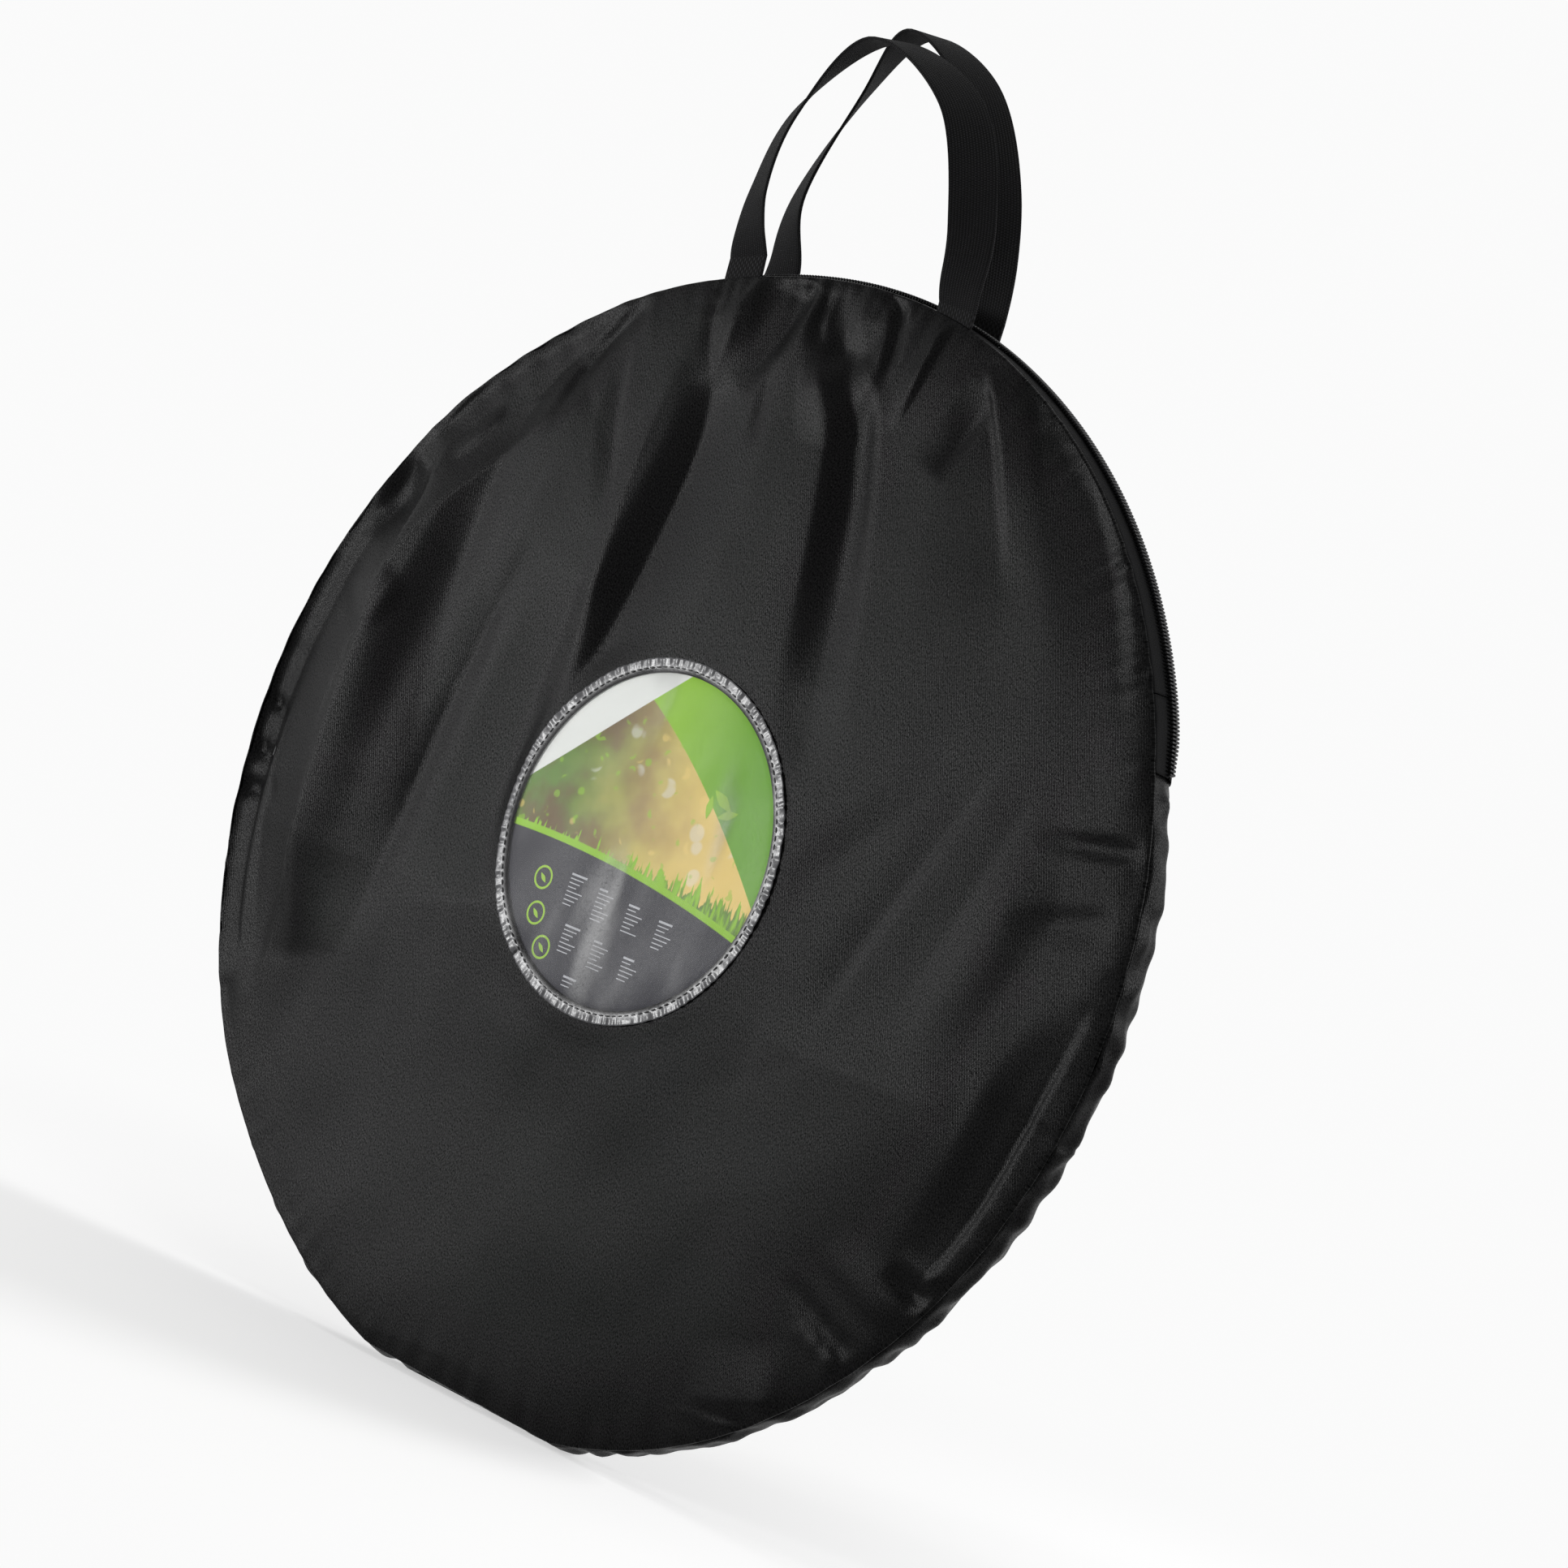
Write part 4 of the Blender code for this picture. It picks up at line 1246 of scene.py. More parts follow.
@dataclass(frozen=True)
class Zip:
    """Both tapes with their teeth, in millimetres and degrees."""

    band: Band
    tape_look: WovenBand
    tooth_look: SmoothSolid
    groove: float = 0.8
    tape: float = 0.6
    tooth_pitch: float = 1.9
    tooth_size: tuple[float, float, float] = (1.05, 3.9, 2.1)
    tooth_reach: float = 3.3
    tooth_foot: float = 0.05
    tooth_round: float = 0.33
    clearance: float = 0.06

    def tape_mesh(self, name: str, side: Side, start: float, end: float) -> bpy.types.Mesh:
        """One tape between two angles in degrees.

        Args:
            name: its name.
            side: the face of the case it is on.
            start: where it starts.
            end: where it ends.

        Returns:
            The mesh.
        """

        def place(share: Array, off: Array) -> Array:
            """Points for shares along and across the tape.

            Args:
                share: shares along it, from 0 to 1.
                off: shares across it, from -1 to 1.

            Returns:
                The points in the part's frame.
            """
            angle = np.radians(start + (end - start) * share)
            part = (off + 1) / 2
            depth = self.groove + (self.band.half_width - self.groove) * part
            lift = np.where(part > 0.97, -1.1, -0.25)
            lift = lift + 0.15 * waves(angle * 300, depth, 14, 41) * part
            distance = self.band.rim(angle, side.value * depth / self.band.half_width) + lift
            return self.band.around(angle, distance, side.value * depth)

        length = math.radians(end - start) * self.band.form.radius * MM
        cells = max(round(length / (2.2 * MM)), 6)
        return grid_mesh(name, cells, 8, place, (length, self.band.half_width * MM))

    def teeth_mesh(self, name: str, side: Side, spans: Sequence[tuple[float, float]]) -> bpy.types.Mesh:
        """The teeth of one side between these angles.

        Args:
            name: its name.
            side: the face of the case it is on.
            spans: the angles between which it has teeth, in degrees.

        Returns:
            The mesh.
        """
        radius = self.band.form.radius
        step = self.tooth_pitch / radius
        shift = 0.5 if side is Side.FRONT else 0.0
        middle = (
            0, side.value * (self.tooth_reach - self.tooth_size[1] / 2),
            radius + self.tooth_foot + self.tooth_size[2] / 2,
        )
        bm = bmesh.new()
        for start, end in spans:
            first = (math.ceil(math.radians(start) / step - shift) + shift) * step
            count = int((math.radians(end) - first) / step)
            tooth = block(bm, self.tooth_size, middle, self.tooth_round)
            turn = Matrix.Rotation(math.pi / 2 - first, 3, "Y")
            bmesh.ops.rotate(bm, cent=(0, 0, 0), matrix=turn, verts=tooth)
            geometry = tooth + list({edge for vert in tooth for edge in vert.link_edges})
            geometry += list({face for vert in tooth for face in vert.link_faces})
            bmesh.ops.spin(
                bm, geom=geometry, axis=(0, -1, 0), angle=count * step, steps=count, use_duplicate=True
            )
        mesh = mesh_from(bm, name)
        points = corners_of(mesh) / MM
        angle = np.arctan2(points[:, 2], points[:, 0])
        depth = points[:, 1]
        distance = np.hypot(points[:, 0], points[:, 2]) - radius
        distance += self.band.rim(angle, depth / self.band.half_width)
        move_corners(mesh, self.band.around(angle, distance, depth))
        return mesh

    def build(self) -> None:
        """Makes the rear half, the front half on the flap, and the front half's sewn-down ends."""
        tape, teeth = self.tape_look.made(), self.tooth_look.made()
        right, left = self.band.zip_end, 180 - self.band.zip_end
        right_fold, left_fold = self.band.flap_end, 180 - self.band.flap_end
        flap = (right_fold + self.clearance, left_fold - self.clearance)
        short = ((right, right_fold - self.clearance), (left_fold + self.clearance, left))
        centre = Vector((0, 0, self.band.form.centre_height * MM))
        tapes = (
            ("back", Side.REAR, (right, left), "zip_tape_rear", "case"),
            ("flap", Side.FRONT, flap, "zip_tape_front", "mouth"),
            ("right_end", Side.FRONT, short[0], "zip_end_right", "case"),
            ("left_end", Side.FRONT, short[1], "zip_end_left", "case"),
        )
        for end, side, span, node, body in tapes:
            name = f"zip_tape_{end}"
            item = piece(name, self.tape_mesh(name, side, *span), tape, (node,), body)
            face_out(item, centre)
            thicken(item, self.tape * MM, -1)
        rows = (
            ("back", Side.REAR, [(right, left)], ("zip_coil_rear",), "case"),
            ("flap", Side.FRONT, [flap], ("zip_coil_front",), "mouth"),
            ("ends", Side.FRONT, short, (), "case"),
        )
        for end, side, spans, nodes, body in rows:
            name = f"zip_teeth_{end}"
            piece(name, self.teeth_mesh(name, side, spans), teeth, nodes, body)


def block(
    bm: bmesh.types.BMesh, size: Sequence[float], centre: Sequence[float], round_by: float
) -> list[bmesh.types.BMVert]:
    """Adds a box with rounded edges.

    Args:
        bm: the mesh it is added to.
        size: its length, width and height in millimetres.
        centre: its middle in millimetres.
        round_by: how far its edges are rounded, in millimetres.

    Returns:
        Its vertices.
    """
    cube = bmesh.ops.create_cube(bm, size=1)["verts"]
    bmesh.ops.scale(bm, vec=[part * MM for part in size], verts=cube)
    bmesh.ops.translate(bm, vec=[part * MM for part in centre], verts=cube)
    edges = list({edge for vert in cube for edge in vert.link_edges})
    made = bmesh.ops.bevel(
        bm, geom=edges, offset=round_by * MM, affect="EDGES", segments=2, profile=0.5,
        material=-1, clamp_overlap=True,
    )
    return list({vert for face in made["faces"] for vert in face.verts})


@dataclass(frozen=True)
class Slider:
    """The zip's slider with its bridge and pull tab, modelled at the top and turned into place."""

    form: CaseForm
    look: SmoothSolid
    rest_angle: float = 155.59
    top: float = 303.7
    pivot: float = 304.85
    length: float = 14.0
    crease_angle: float = 50.0
    upper_plate: tuple[float, float] = (9.1, 1.3)
    lower_plate: tuple[float, float] = (7.3, 1.1)
    lower_height: float = 298.0
    nose: float = 0.16
    flange: tuple[float, float] = (0.9, 3.4)
    flange_out: float = 4.1
    wedge: tuple[float, float, float] = (5.0, 1.0, 5.6)
    wedge_middle: tuple[float, float, float] = (3.5, 0, 300.8)
    post: tuple[float, float, float] = (1.1, 2.4, 3.4)
    post_out: float = 3.45
    bridge: tuple[float, float, float] = (8.0, 2.4, 1.1)
    puller_width: float = 6.4
    puller_height: float = 1.2
    arm: tuple[float, float] = (6.6, 1.35)
    tab: float = 22.6
    tab_middle: float = -17.6
    grips: int = 5
    grip_pitch: float = 2.6

    def finished(
        self, bm: bmesh.types.BMesh, name: str, metal: bpy.types.Material, node: str, body: str
    ) -> None:
        """Turns what was modelled at the top to the slider's place and makes its piece.

        Args:
            bm: what was modelled.
            name: its name.
            metal: its material.
            node: the CAD node it stands for.
            body: the body it moves with.
        """
        turn = Matrix.Rotation(math.pi / 2 - math.radians(self.rest_angle), 4, "Y")
        lift = Matrix.Translation((0, 0, self.form.centre_height * MM))
        bmesh.ops.transform(bm, matrix=lift @ turn, verts=bm.verts)
        bmesh.ops.recalc_face_normals(bm, faces=bm.faces)
        item = piece(name, mesh_from(bm, name), metal, (node,), body)
        item.data.set_sharp_from_angle(angle=math.radians(self.crease_angle))

    def build(self) -> None:
        """Makes the slider and its tab."""
        metal = self.look.made()
        bm = bmesh.new()
        body = block(bm, (self.length, *self.upper_plate), (0, 0, self.top - 0.6), 0.45)
        body += block(bm, (self.length - 1, *self.lower_plate), (0, 0, self.lower_height), 0.4)
        for side in (-1, 1):
            middle = (0, side * self.flange_out, self.top - 2.0)
            body += block(bm, (self.length - 0.8, *self.flange), middle, 0.3)
        block(bm, self.wedge, self.wedge_middle, 0.3)
        for vert in set(body):
            forward = max(vert.co.x / (self.length * MM / 2), 0)
            vert.co.y *= 1 - self.nose * forward**2
        for end in (-1, 1):
            block(bm, self.post, (end * self.post_out, 0, self.top + 1.3), 0.35)
        block(bm, self.bridge, (0, 0, self.top + 2.75), 0.4)
        self.finished(bm, "slider_body", metal, "zip_slider", "slider")
        bm = bmesh.new()
        high, (arm_length, arm_width) = self.puller_height, self.arm
        block(bm, (high, self.puller_width, high), (0, 0, self.pivot), 0.3)
        for side in (-1, 1):
            across = side * (self.puller_width - arm_width) / 2
            block(bm, (*self.arm, high), (-arm_length / 2, across, self.pivot), 0.3)
        block(bm, (self.tab, self.puller_width, high), (self.tab_middle, 0, self.pivot), 0.4)
        for index in range(self.grips):
            along = -14.0 - self.grip_pitch * index
            block(bm, (0.9, self.puller_width - 2.2, 1.7), (along, 0, self.pivot), 0.35)
        self.finished(bm, "pull_tab", metal, "zip_puller", "puller")


# Handles


@dataclass(frozen=True)
class Handle:
    """A webbing loop that turns between its sewn ends, in millimetres.

    Each knot of the loop is (share across, share up, lean in degrees), where the strap lies flat
    in the loop's plane at 0 and edge-on to it at 90.
    """

    name: str
    node: str
    bodies: tuple[str, str]
    side: Side
    radius: float
    rise: float
    axis_height: float
    knots: tuple[tuple[float, float, float], ...]
    form: CaseForm
    spread: float = 71.0
    width: float = 24.0
    webbing: float = 1.5
    depth: float = 16.2
    seam_depth: float = 12.6
    tuck: float = 15.0
    bend: float = 9.0
    length: float = 0.36

    def place(self, share: Array, off: Array) -> Array:
        """Points for shares along and across the strap.

        Args:
            share: shares along it, from 0 to 1.
            off: shares across it, from -1 to 1.

        Returns:
            The points in the part's frame.
        """
        slope = math.asin(self.spread / self.radius)
        base = self.radius * math.cos(slope)
        knots = [(self.spread * across, base + self.rise * up, lean) for across, up, lean in self.knots]
        line = smooth_rows(np.array(knots), 12)
        steps = np.linspace(0, 1, len(line))
        run = np.gradient(line[:, :2], axis=0)
        run /= np.linalg.norm(run, axis=1)[:, None]
        x, z, lean = (np.interp(share, steps, part) for part in line.T)
        run_x, run_z = (np.interp(share, steps, part) for part in run.T)
        lean = np.radians(lean)
        wide = np.stack([run_z * np.cos(lean), -np.sin(lean), -run_x * np.cos(lean)], 1)
        end = np.minimum(share, 1 - share) * (len(self.knots) - 1)
        sewn = np.clip(1 - end / 0.5, 0, 1) ** 2
        foot = np.where(share < 0.5, 1.0, -1.0)
        along_rim = np.stack([foot * math.cos(slope), 0 * foot, math.sin(slope) * np.ones_like(foot)], 1)
        wide = wide * (1 - sewn)[:, None] + along_rim * sewn[:, None]
        wide /= np.linalg.norm(wide, axis=1)[:, None]
        points = np.stack([x, np.zeros_like(x), z], 1) + wide * (off * self.width / 2)[:, None]
        points[:, 1] += self.side.value * (self.depth + (self.seam_depth - self.depth) * sewn)
        points[:, 2] += self.form.centre_height - self.tuck * np.clip(1 - end / 0.12, 0, 1)
        return points * MM

    def build(self, finish: bpy.types.Material) -> None:
        """Makes the strap.

        Args:
            finish: the webbing's material.
        """
        mesh = grid_mesh(self.name, 150, 8, self.place, (self.length, self.width * MM))
        item = piece(self.name, mesh, finish, (self.node,))
        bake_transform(item)
        thicken(item, self.webbing * MM, 0)
        soften(item, 0.3 * MM)


# The window


@dataclass(frozen=True)
class Window:
    """Clear film sewn over the round opening, its stitches and the card behind it."""

    drape: Drape
    film_look: ClearSheet
    card_look: PrintedSheet
    thread_look: SmoothSolid
    film_radius: float = 93.0
    film: float = 0.35
    film_lift: float = 0.7
    card_radius: float = 95.0
    card: float = 0.5
    card_lift: float = -1.3
    stitch_radius: float = 88.2
    stitches: int = 132
    stitch: tuple[float, float] = (3.0, 0.42)
    ink: float = 0.06
    marks: tuple[tuple[float, float], ...] = ((-52, -34), (-49, -52), (-38, -67))
    leaves: tuple[tuple[float, float, float, float], ...] = (
        (44, 33, 16, 0.5), (50, 27, 13, -0.4), (37, 28, 12, 1.5),
    )
    columns: tuple[tuple[float, float, int], ...] = (
        (-34, -27, 8), (-13, -29, 8), (9, -31, 7), (31, -33, 7),
        (-27, -52, 7), (-5, -54, 7), (17, -56, 6), (-17, -76, 3),
    )
    row_pitch: float = 2.2

    def crinkle(self, x: Array, z: Array) -> Array:
        """How the film's margin buckles outside its stitches.

        Args:
            x: places across the panel, in millimetres.
            z: places up the panel, in millimetres.

        Returns:
            How far outside the cloth's face the film lies, in millimetres.
        """
        distance, angle = np.hypot(x, z), np.arctan2(z, x)
        ring = self.film_radius * np.cos(angle), self.film_radius * np.sin(angle)
        outside = np.clip((distance - self.stitch_radius) / 2.5, 0, 1)
        near = bell(distance, self.stitch_radius, 3.5)
        buckle = waves(*ring, 3.8, 51, 24) + 0.35 * waves(x, z, 8, 52)
        return self.film_lift + 0.34 * (buckle + 0.6) * outside - 0.25 * near + 0.2 * waves(x, z, 34, 53)

    def build(self) -> None:
        """Makes the film, the stitches, the card and the shapes printed on it."""
        radii = np.concatenate([np.linspace(0, 82, 16), np.linspace(84, self.film_radius, 13)])
        mesh = self.cover("window_sheet", radii, 720, self.crinkle)
        item = piece("window_sheet", mesh, self.film_look.made(), ("window_film",), "case")
        thicken(item, self.film * MM, -1)
        radii = np.linspace(0, self.card_radius, 26)
        mesh = self.cover("picture_card", radii, 160, self.card_place)
        item = piece("picture_card", mesh, self.card_look.made(), ("insert_card",), "case")
        thicken(item, self.card * MM, -1)
        self.sew()
        self.print_shapes()

    def card_place(self, x: Array, z: Array) -> Array:
        """How far outside the cloth's face the card lies, which is the same everywhere."""
        return self.card_lift + 0 * x

    def cover(
        self, name: str, radii: Array, steps: int, lift: Callable[[Array, Array], Array]
    ) -> bpy.types.Mesh:
        """A disc laid on the cloth's surface, moved outwards by a lift that varies.

        Args:
            name: its name.
            radii: its rings' distances from the middle, in millimetres.
            steps: cells round it.
            lift: gives how far outwards each place moves.

        Returns:
            The mesh.
        """
        mesh = disc_mesh(name, [radius * MM for radius in radii], steps)
        flat = corners_of(mesh) / MM
        self.lay(mesh, flat[:, 0], flat[:, 2], lift(flat[:, 0], flat[:, 2]))
        write_uv(mesh, flat[:, 0] * MM, flat[:, 2] * MM)
        return mesh

    def lay(self, mesh: bpy.types.Mesh, x: Array, z: Array, lift: Array) -> None:
        """Puts the mesh's points on the cloth's surface at these places."""
        points = np.stack([x, self.drape.depth(x, z) - lift, z], 1)
        move_corners(mesh, self.drape.form.set_down(points))

    def sew(self) -> None:
        """Makes the running stitch round the film."""
        bm = bmesh.new()
        long, thick = self.stitch
        verts = bmesh.ops.create_uvsphere(bm, u_segments=8, v_segments=6, radius=MM)["verts"]
        bmesh.ops.scale(bm, vec=(thick, thick * 0.9, long / 2), verts=verts)
        bmesh.ops.translate(bm, vec=(self.stitch_radius * MM, 0, 0), verts=verts)
        more = self.stitches - 1
        bmesh.ops.spin(
            bm, geom=bm.verts[:] + bm.edges[:] + bm.faces[:], axis=(0, -1, 0),
            angle=FULL_TURN * more / self.stitches, steps=more, use_duplicate=True,
        )
        mesh = mesh_from(bm, "film_stitches")
        flat = corners_of(mesh) / MM
        x, z = flat[:, 0], flat[:, 2]
        self.lay(mesh, x, z, self.film_lift - flat[:, 1])
        piece("film_stitches", mesh, self.thread_look.made(), ("window_stitching",), "case")

    def print_shapes(self) -> None:
        """Makes the rings, leaves and rules printed on the card's lower part."""
        bm = bmesh.new()
        for x, z in self.marks:
            self.ring(bm, x, z, 6.2, 5.0)
            self.leaf(bm, x, z - 0.2, 6.4, 2.0, 0.7)
        for x, z, size, turn in self.leaves:
            self.leaf(bm, x, z, size, size * 0.3, turn)
        self.lay_print(bm, "printed_marks", "printed_lime", (0.28, 0.5, 0.02))
        bm = bmesh.new()
        for column, (x, top, rows) in enumerate(self.columns):
            for row in range(rows):
                width = 11 - 1.7 * ((row * 5 + column * 3) % 4)
                height = 0.55 if row else 1.1
                self.rule(bm, x + width / 2, top - self.row_pitch * row, width, height)
        self.lay_print(bm, "printed_rules", "printed_pale", (0.42, 0.43, 0.46))

    def lay_print(self, bm: bmesh.types.BMesh, name: str, ink: str, colour: Colour) -> None:
        """Lays flat shapes on the card as ink.

        Args:
            bm: the flat shapes.
            name: the piece's name.
            ink: the material's name.
            colour: the ink's colour.
        """
        finish = Shading(ink).set(Base_Color=colour, Roughness=0.5, Specular_IOR_Level=0.06).material
        mesh = mesh_from(bm, name)
        flat = corners_of(mesh) / MM
        self.lay(mesh, flat[:, 0], flat[:, 2], self.card_lift + self.ink)
        piece(name, mesh, finish, (), "case")

    @staticmethod
    def upright(x: float, z: float, turn: float = 0.0) -> Matrix:
        """Sets what was made lying flat upright in the plane of the card."""
        middle = Matrix.Translation((x * MM, 0, z * MM))
        return middle @ Matrix.Rotation(turn, 4, "Y") @ Matrix.Rotation(math.pi / 2, 4, "X")

    @staticmethod
    def ring(bm: bmesh.types.BMesh, x: float, z: float, outer: float, inner: float) -> None:
        """Adds a flat ring in the plane of the card.

        Args:
            bm: the mesh under way.
            x: its middle across.
            z: its middle up.
            outer: its outer radius.
            inner: its inner radius.
        """
        place = Window.upright(x, z)
        edges = []
        for radius in (outer, inner):
            verts = bmesh.ops.create_circle(bm, segments=28, radius=radius * MM, matrix=place)["verts"]
            edges += list({edge for vert in verts for edge in vert.link_edges})
        bmesh.ops.bridge_loops(bm, edges=edges)

    @staticmethod
    def leaf(
        bm: bmesh.types.BMesh, x: float, z: float, length: float, width: float, turn: float
    ) -> None:
        """Adds a flat leaf in the plane of the card.

        Args:
            bm: the mesh under way.
            x: its middle across.
            z: its middle up.
            length: in millimetres.
            width: at its widest.
            turn: in radians.
        """
        verts = bmesh.ops.create_circle(bm, cap_ends=True, segments=24, radius=1)["verts"]
        for vert in verts:
            pointed = max(1 - abs(vert.co.x), 0) ** 0.4
            vert.co.y *= width * MM * pointed / 2 * 1.2
            vert.co.x *= length * MM / 2
        bmesh.ops.transform(bm, matrix=Window.upright(x, z, turn), verts=verts)

    @staticmethod
    def rule(bm: bmesh.types.BMesh, x: float, z: float, length: float, height: float) -> None:
        """Adds a flat bar in the plane of the card.

        Args:
            bm: the mesh under way.
            x: its middle across.
            z: its middle up.
            length: in millimetres.
            height: in millimetres.
        """
        verts = bmesh.ops.create_grid(bm, x_segments=4, y_segments=1, size=0.5)["verts"]
        bmesh.ops.scale(bm, vec=(length * MM, height * MM, 1), verts=verts)
        bmesh.ops.transform(bm, matrix=Window.upright(x, z), verts=verts)


# The folded bags


WALL_FLAT = (0.715, 1.728)


@dataclass(frozen=True)
class BagFinishes:
    """The materials that the three bags share."""

    cloth: bpy.types.Material
    webbing: bpy.types.Material
    elastic: bpy.types.Material
    wire: bpy.types.Material


@dataclass(frozen=True)
class FoldedBag:
    """One leaf bag pressed flat, in millimetres about its own middle."""

    number: int
    middle: float
    finishes: BagFinishes
    centre_height: float = 276.1
    core_half: float = 3.83
    wall_outer: float = 262.7
    wall_inner: float = 180.7
    faces: int = 8
    wall_steps: int = 144
    ruffle: float = 3.2
    wire_outer: float = 274.0
    wire_inner: float = 264.0
    wire_turns: int = 4
    wire: float = 2.0
    wire_half_depth: float = 2.83
    handle_radius: float = 62.0
    handle_half: float = 12.0
    handle_rise: float = 162.8
    strap_inner: float = 250.7
    strap_outer: float = 275.7
    strap_width: float = 14.0
    strap_depth: float = 4.33
    stack_share: float = 0.78
    fold_inset: float = 14.0
    fold_round: float = 1.5
    fold_slip: float = 0.2
    wave_radius: float = 60.0
    slack_length: float = 26.0
    crease: tuple[float, float] = (0.28, 12)
    handle_depth: float = 3.1
    handle_play: float = 0.2
    handle_wave: tuple[float, float] = (0.25, 30)
    strap_bow: float = 0.8
    strap_pinch: float = 0.06
    cloth_thickness: float = 0.25 * MM
    webbing_thickness: float = 1.3 * MM
    elastic_thickness: float = 0.4 * MM

    def node(self, part: str) -> str:
        """The CAD node of one of this bag's parts."""
        return f"bag_{self.number}_{part}"

    def set_in(self, points: Array) -> Array:
        """Takes points about the bag's middle, in millimetres, to the part's frame."""
        return (points + np.array([0, self.middle, self.centre_height])) * MM

    def wall(self) -> None:
        """Makes the wall, folded to and fro under its wire."""
        knots = []
        for index in range(self.faces + 1):
            depth = self.core_half * self.stack_share * (1 - 2 * index / self.faces)
            inner = index % 2 == 0
            edge, back = (self.wall_inner, 1) if inner else (self.wall_outer, -1)
            knots += [(edge + back * inset, depth) for inset in (self.fold_inset, self.fold_round)]
            knots.append((edge, depth - self.fold_slip))
        line = smooth_rows(np.array(knots[1:-1]), 3)

        def place(share: Array, off: Array) -> Array:
            """Points for shares round and across the wall.

            Args:
                share: shares along it, from 0 to 1.
                off: shares across it, from -1 to 1.

            Returns:
                The points in the part's frame.
            """
            steps = np.linspace(-1, 1, len(line))
            distance, depth = (np.interp(off, steps, part) for part in line.T)
            angle = share * FULL_TURN
            round_x, round_z = self.wave_radius * np.cos(angle), self.wave_radius * np.sin(angle)
            inward = (self.wall_outer - distance) / (self.wall_outer - self.wall_inner)
            slack = waves(round_x + off * self.wave_radius, round_z, self.slack_length, 60 + self.number)
            distance = distance - self.ruffle * inward * (1 + slack) * 0.5
            height, length = self.crease
            crease = height * waves(round_x, round_z + off * 40, length, 70 + self.number)
            depth = np.clip(depth + crease * inward, -self.core_half + 0.2, self.core_half - 1.1)
            return self.set_in(np.stack([distance * np.cos(angle), depth, distance * np.sin(angle)], 1))

        name = self.node("pleated_wall")
        mesh = grid_mesh(name, self.wall_steps, len(line) - 1, place, WALL_FLAT[::-1])
        item = piece(name, mesh, self.finishes.cloth, (self.node("folded_wall"),), "case")
        thicken(item, self.cloth_thickness)
        self.node("base_panel")

    def spring(self) -> None:
        """Makes the coiled wire that springs the bag open."""
        turns = np.linspace(0, 1, self.wire_turns * 96 + 1)
        angle = -math.pi / 2 + turns * self.wire_turns * FULL_TURN
        radius = self.wire_outer + (self.wire_inner - self.wire_outer) * turns
        depth = self.wire_half_depth * (1 - 2 * turns)

        def place(share: Array, off: Array) -> Array:
            """Points for shares along and round the wire.

            Args:
                share: shares along it, from 0 to 1.
                off: shares across it, from -1 to 1.

            Returns:
                The points in the part's frame.
            """
            around = math.pi * off
            run = np.interp(share, turns, angle)
            distance = np.interp(share, turns, radius) + self.wire / 2 * np.cos(around)
            out = np.interp(share, turns, depth) + self.wire / 2 * np.sin(around)
            return self.set_in(np.stack([distance * np.cos(run), out, distance * np.sin(run)], 1))

        name = self.node("wire_coil")
        length = math.pi * (self.wire_outer + self.wire_inner) * self.wire_turns * MM
        mesh = grid_mesh(name, len(turns) - 1, 8, place, (length, FULL_TURN * self.wire / 2 * MM))
        bm = bmesh.new()
        bm.from_mesh(mesh)
        bmesh.ops.remove_doubles(bm, verts=bm.verts, dist=0.01 * MM)
        bmesh.ops.holes_fill(bm, edges=[edge for edge in bm.edges if edge.is_boundary], sides=12)
        bmesh.ops.recalc_face_normals(bm, faces=bm.faces)
        nodes = (self.node("spring_coil"),)
        piece(name, mesh_from(bm, name), self.finishes.wire, nodes, "case")

    def handle(self, part: str, up: float) -> None:
        """Makes a carrying handle, folded flat on the bag's face.

        Args:
            part: the CAD node's name, without the bag's number.
            up: 1 for the handle in the upper half, -1 for the one below.
        """

        def place(share: Array, off: Array) -> Array:
            """Points for shares along and across the strap.

            Args:
                share: shares along it, from 0 to 1.
                off: shares across it, from -1 to 1.

            Returns:
                The points in the part's frame.
            """
            angle = math.pi * share * -up
            distance = self.handle_radius + self.handle_half * off
            height, length = self.handle_wave
            lift = height * waves(self.handle_radius * angle, off, length, 80 + self.number)
            sewn = np.clip(1 - np.minimum(share, 1 - share) / 0.08, 0, 1)
            depth = np.clip(lift * (1 - sewn), -self.handle_play, self.handle_play) - self.handle_depth
            rise = up * self.handle_rise + distance * np.sin(angle)
            return self.set_in(np.stack([distance * np.cos(angle), depth, rise], 1))

        name = f"{self.node(part)}_loop"
        size = (math.pi * self.handle_radius * MM, 2 * self.handle_half * MM)
        mesh = grid_mesh(name, 48, 6, place, size)
        item = piece(name, mesh, self.finishes.webbing, (self.node(part),), "case")
        thicken(item, self.webbing_thickness)
        soften(item, 0.3 * MM)

    def strap(self, part: str, hand: int) -> None:
        """Makes the elastic loop that holds the wire's turns together.

        Args:
            part: the CAD node's name, without the bag's number.
            hand: 1 for the right, -1 for the left.
        """

        def place(share: Array, off: Array) -> Array:
            """Points for shares along and across the loop.

            Args:
                share: shares along it, from 0 to 1.
                off: shares across it, from -1 to 1.

            Returns:
                The points in the part's frame.
            """
            reach = self.strap_outer - self.strap_inner
            run = share * (2 * reach + 2 * self.strap_depth)
            back = np.clip(run, 0, reach)
            edge = np.clip(run - reach, 0, 2 * self.strap_depth)
            front = np.clip(run - reach - 2 * self.strap_depth, 0, reach)
            turn = edge / (2 * self.strap_depth) * math.pi
            bow = self.strap_bow * np.sin(turn)
            depth = self.strap_depth * np.cos(turn)
            x = self.strap_inner + back - front + bow
            pinch = 1 - self.strap_pinch * np.sin(math.pi * share) ** 2
            return self.set_in(np.stack([hand * x, depth, off * self.strap_width / 2 * pinch], 1))

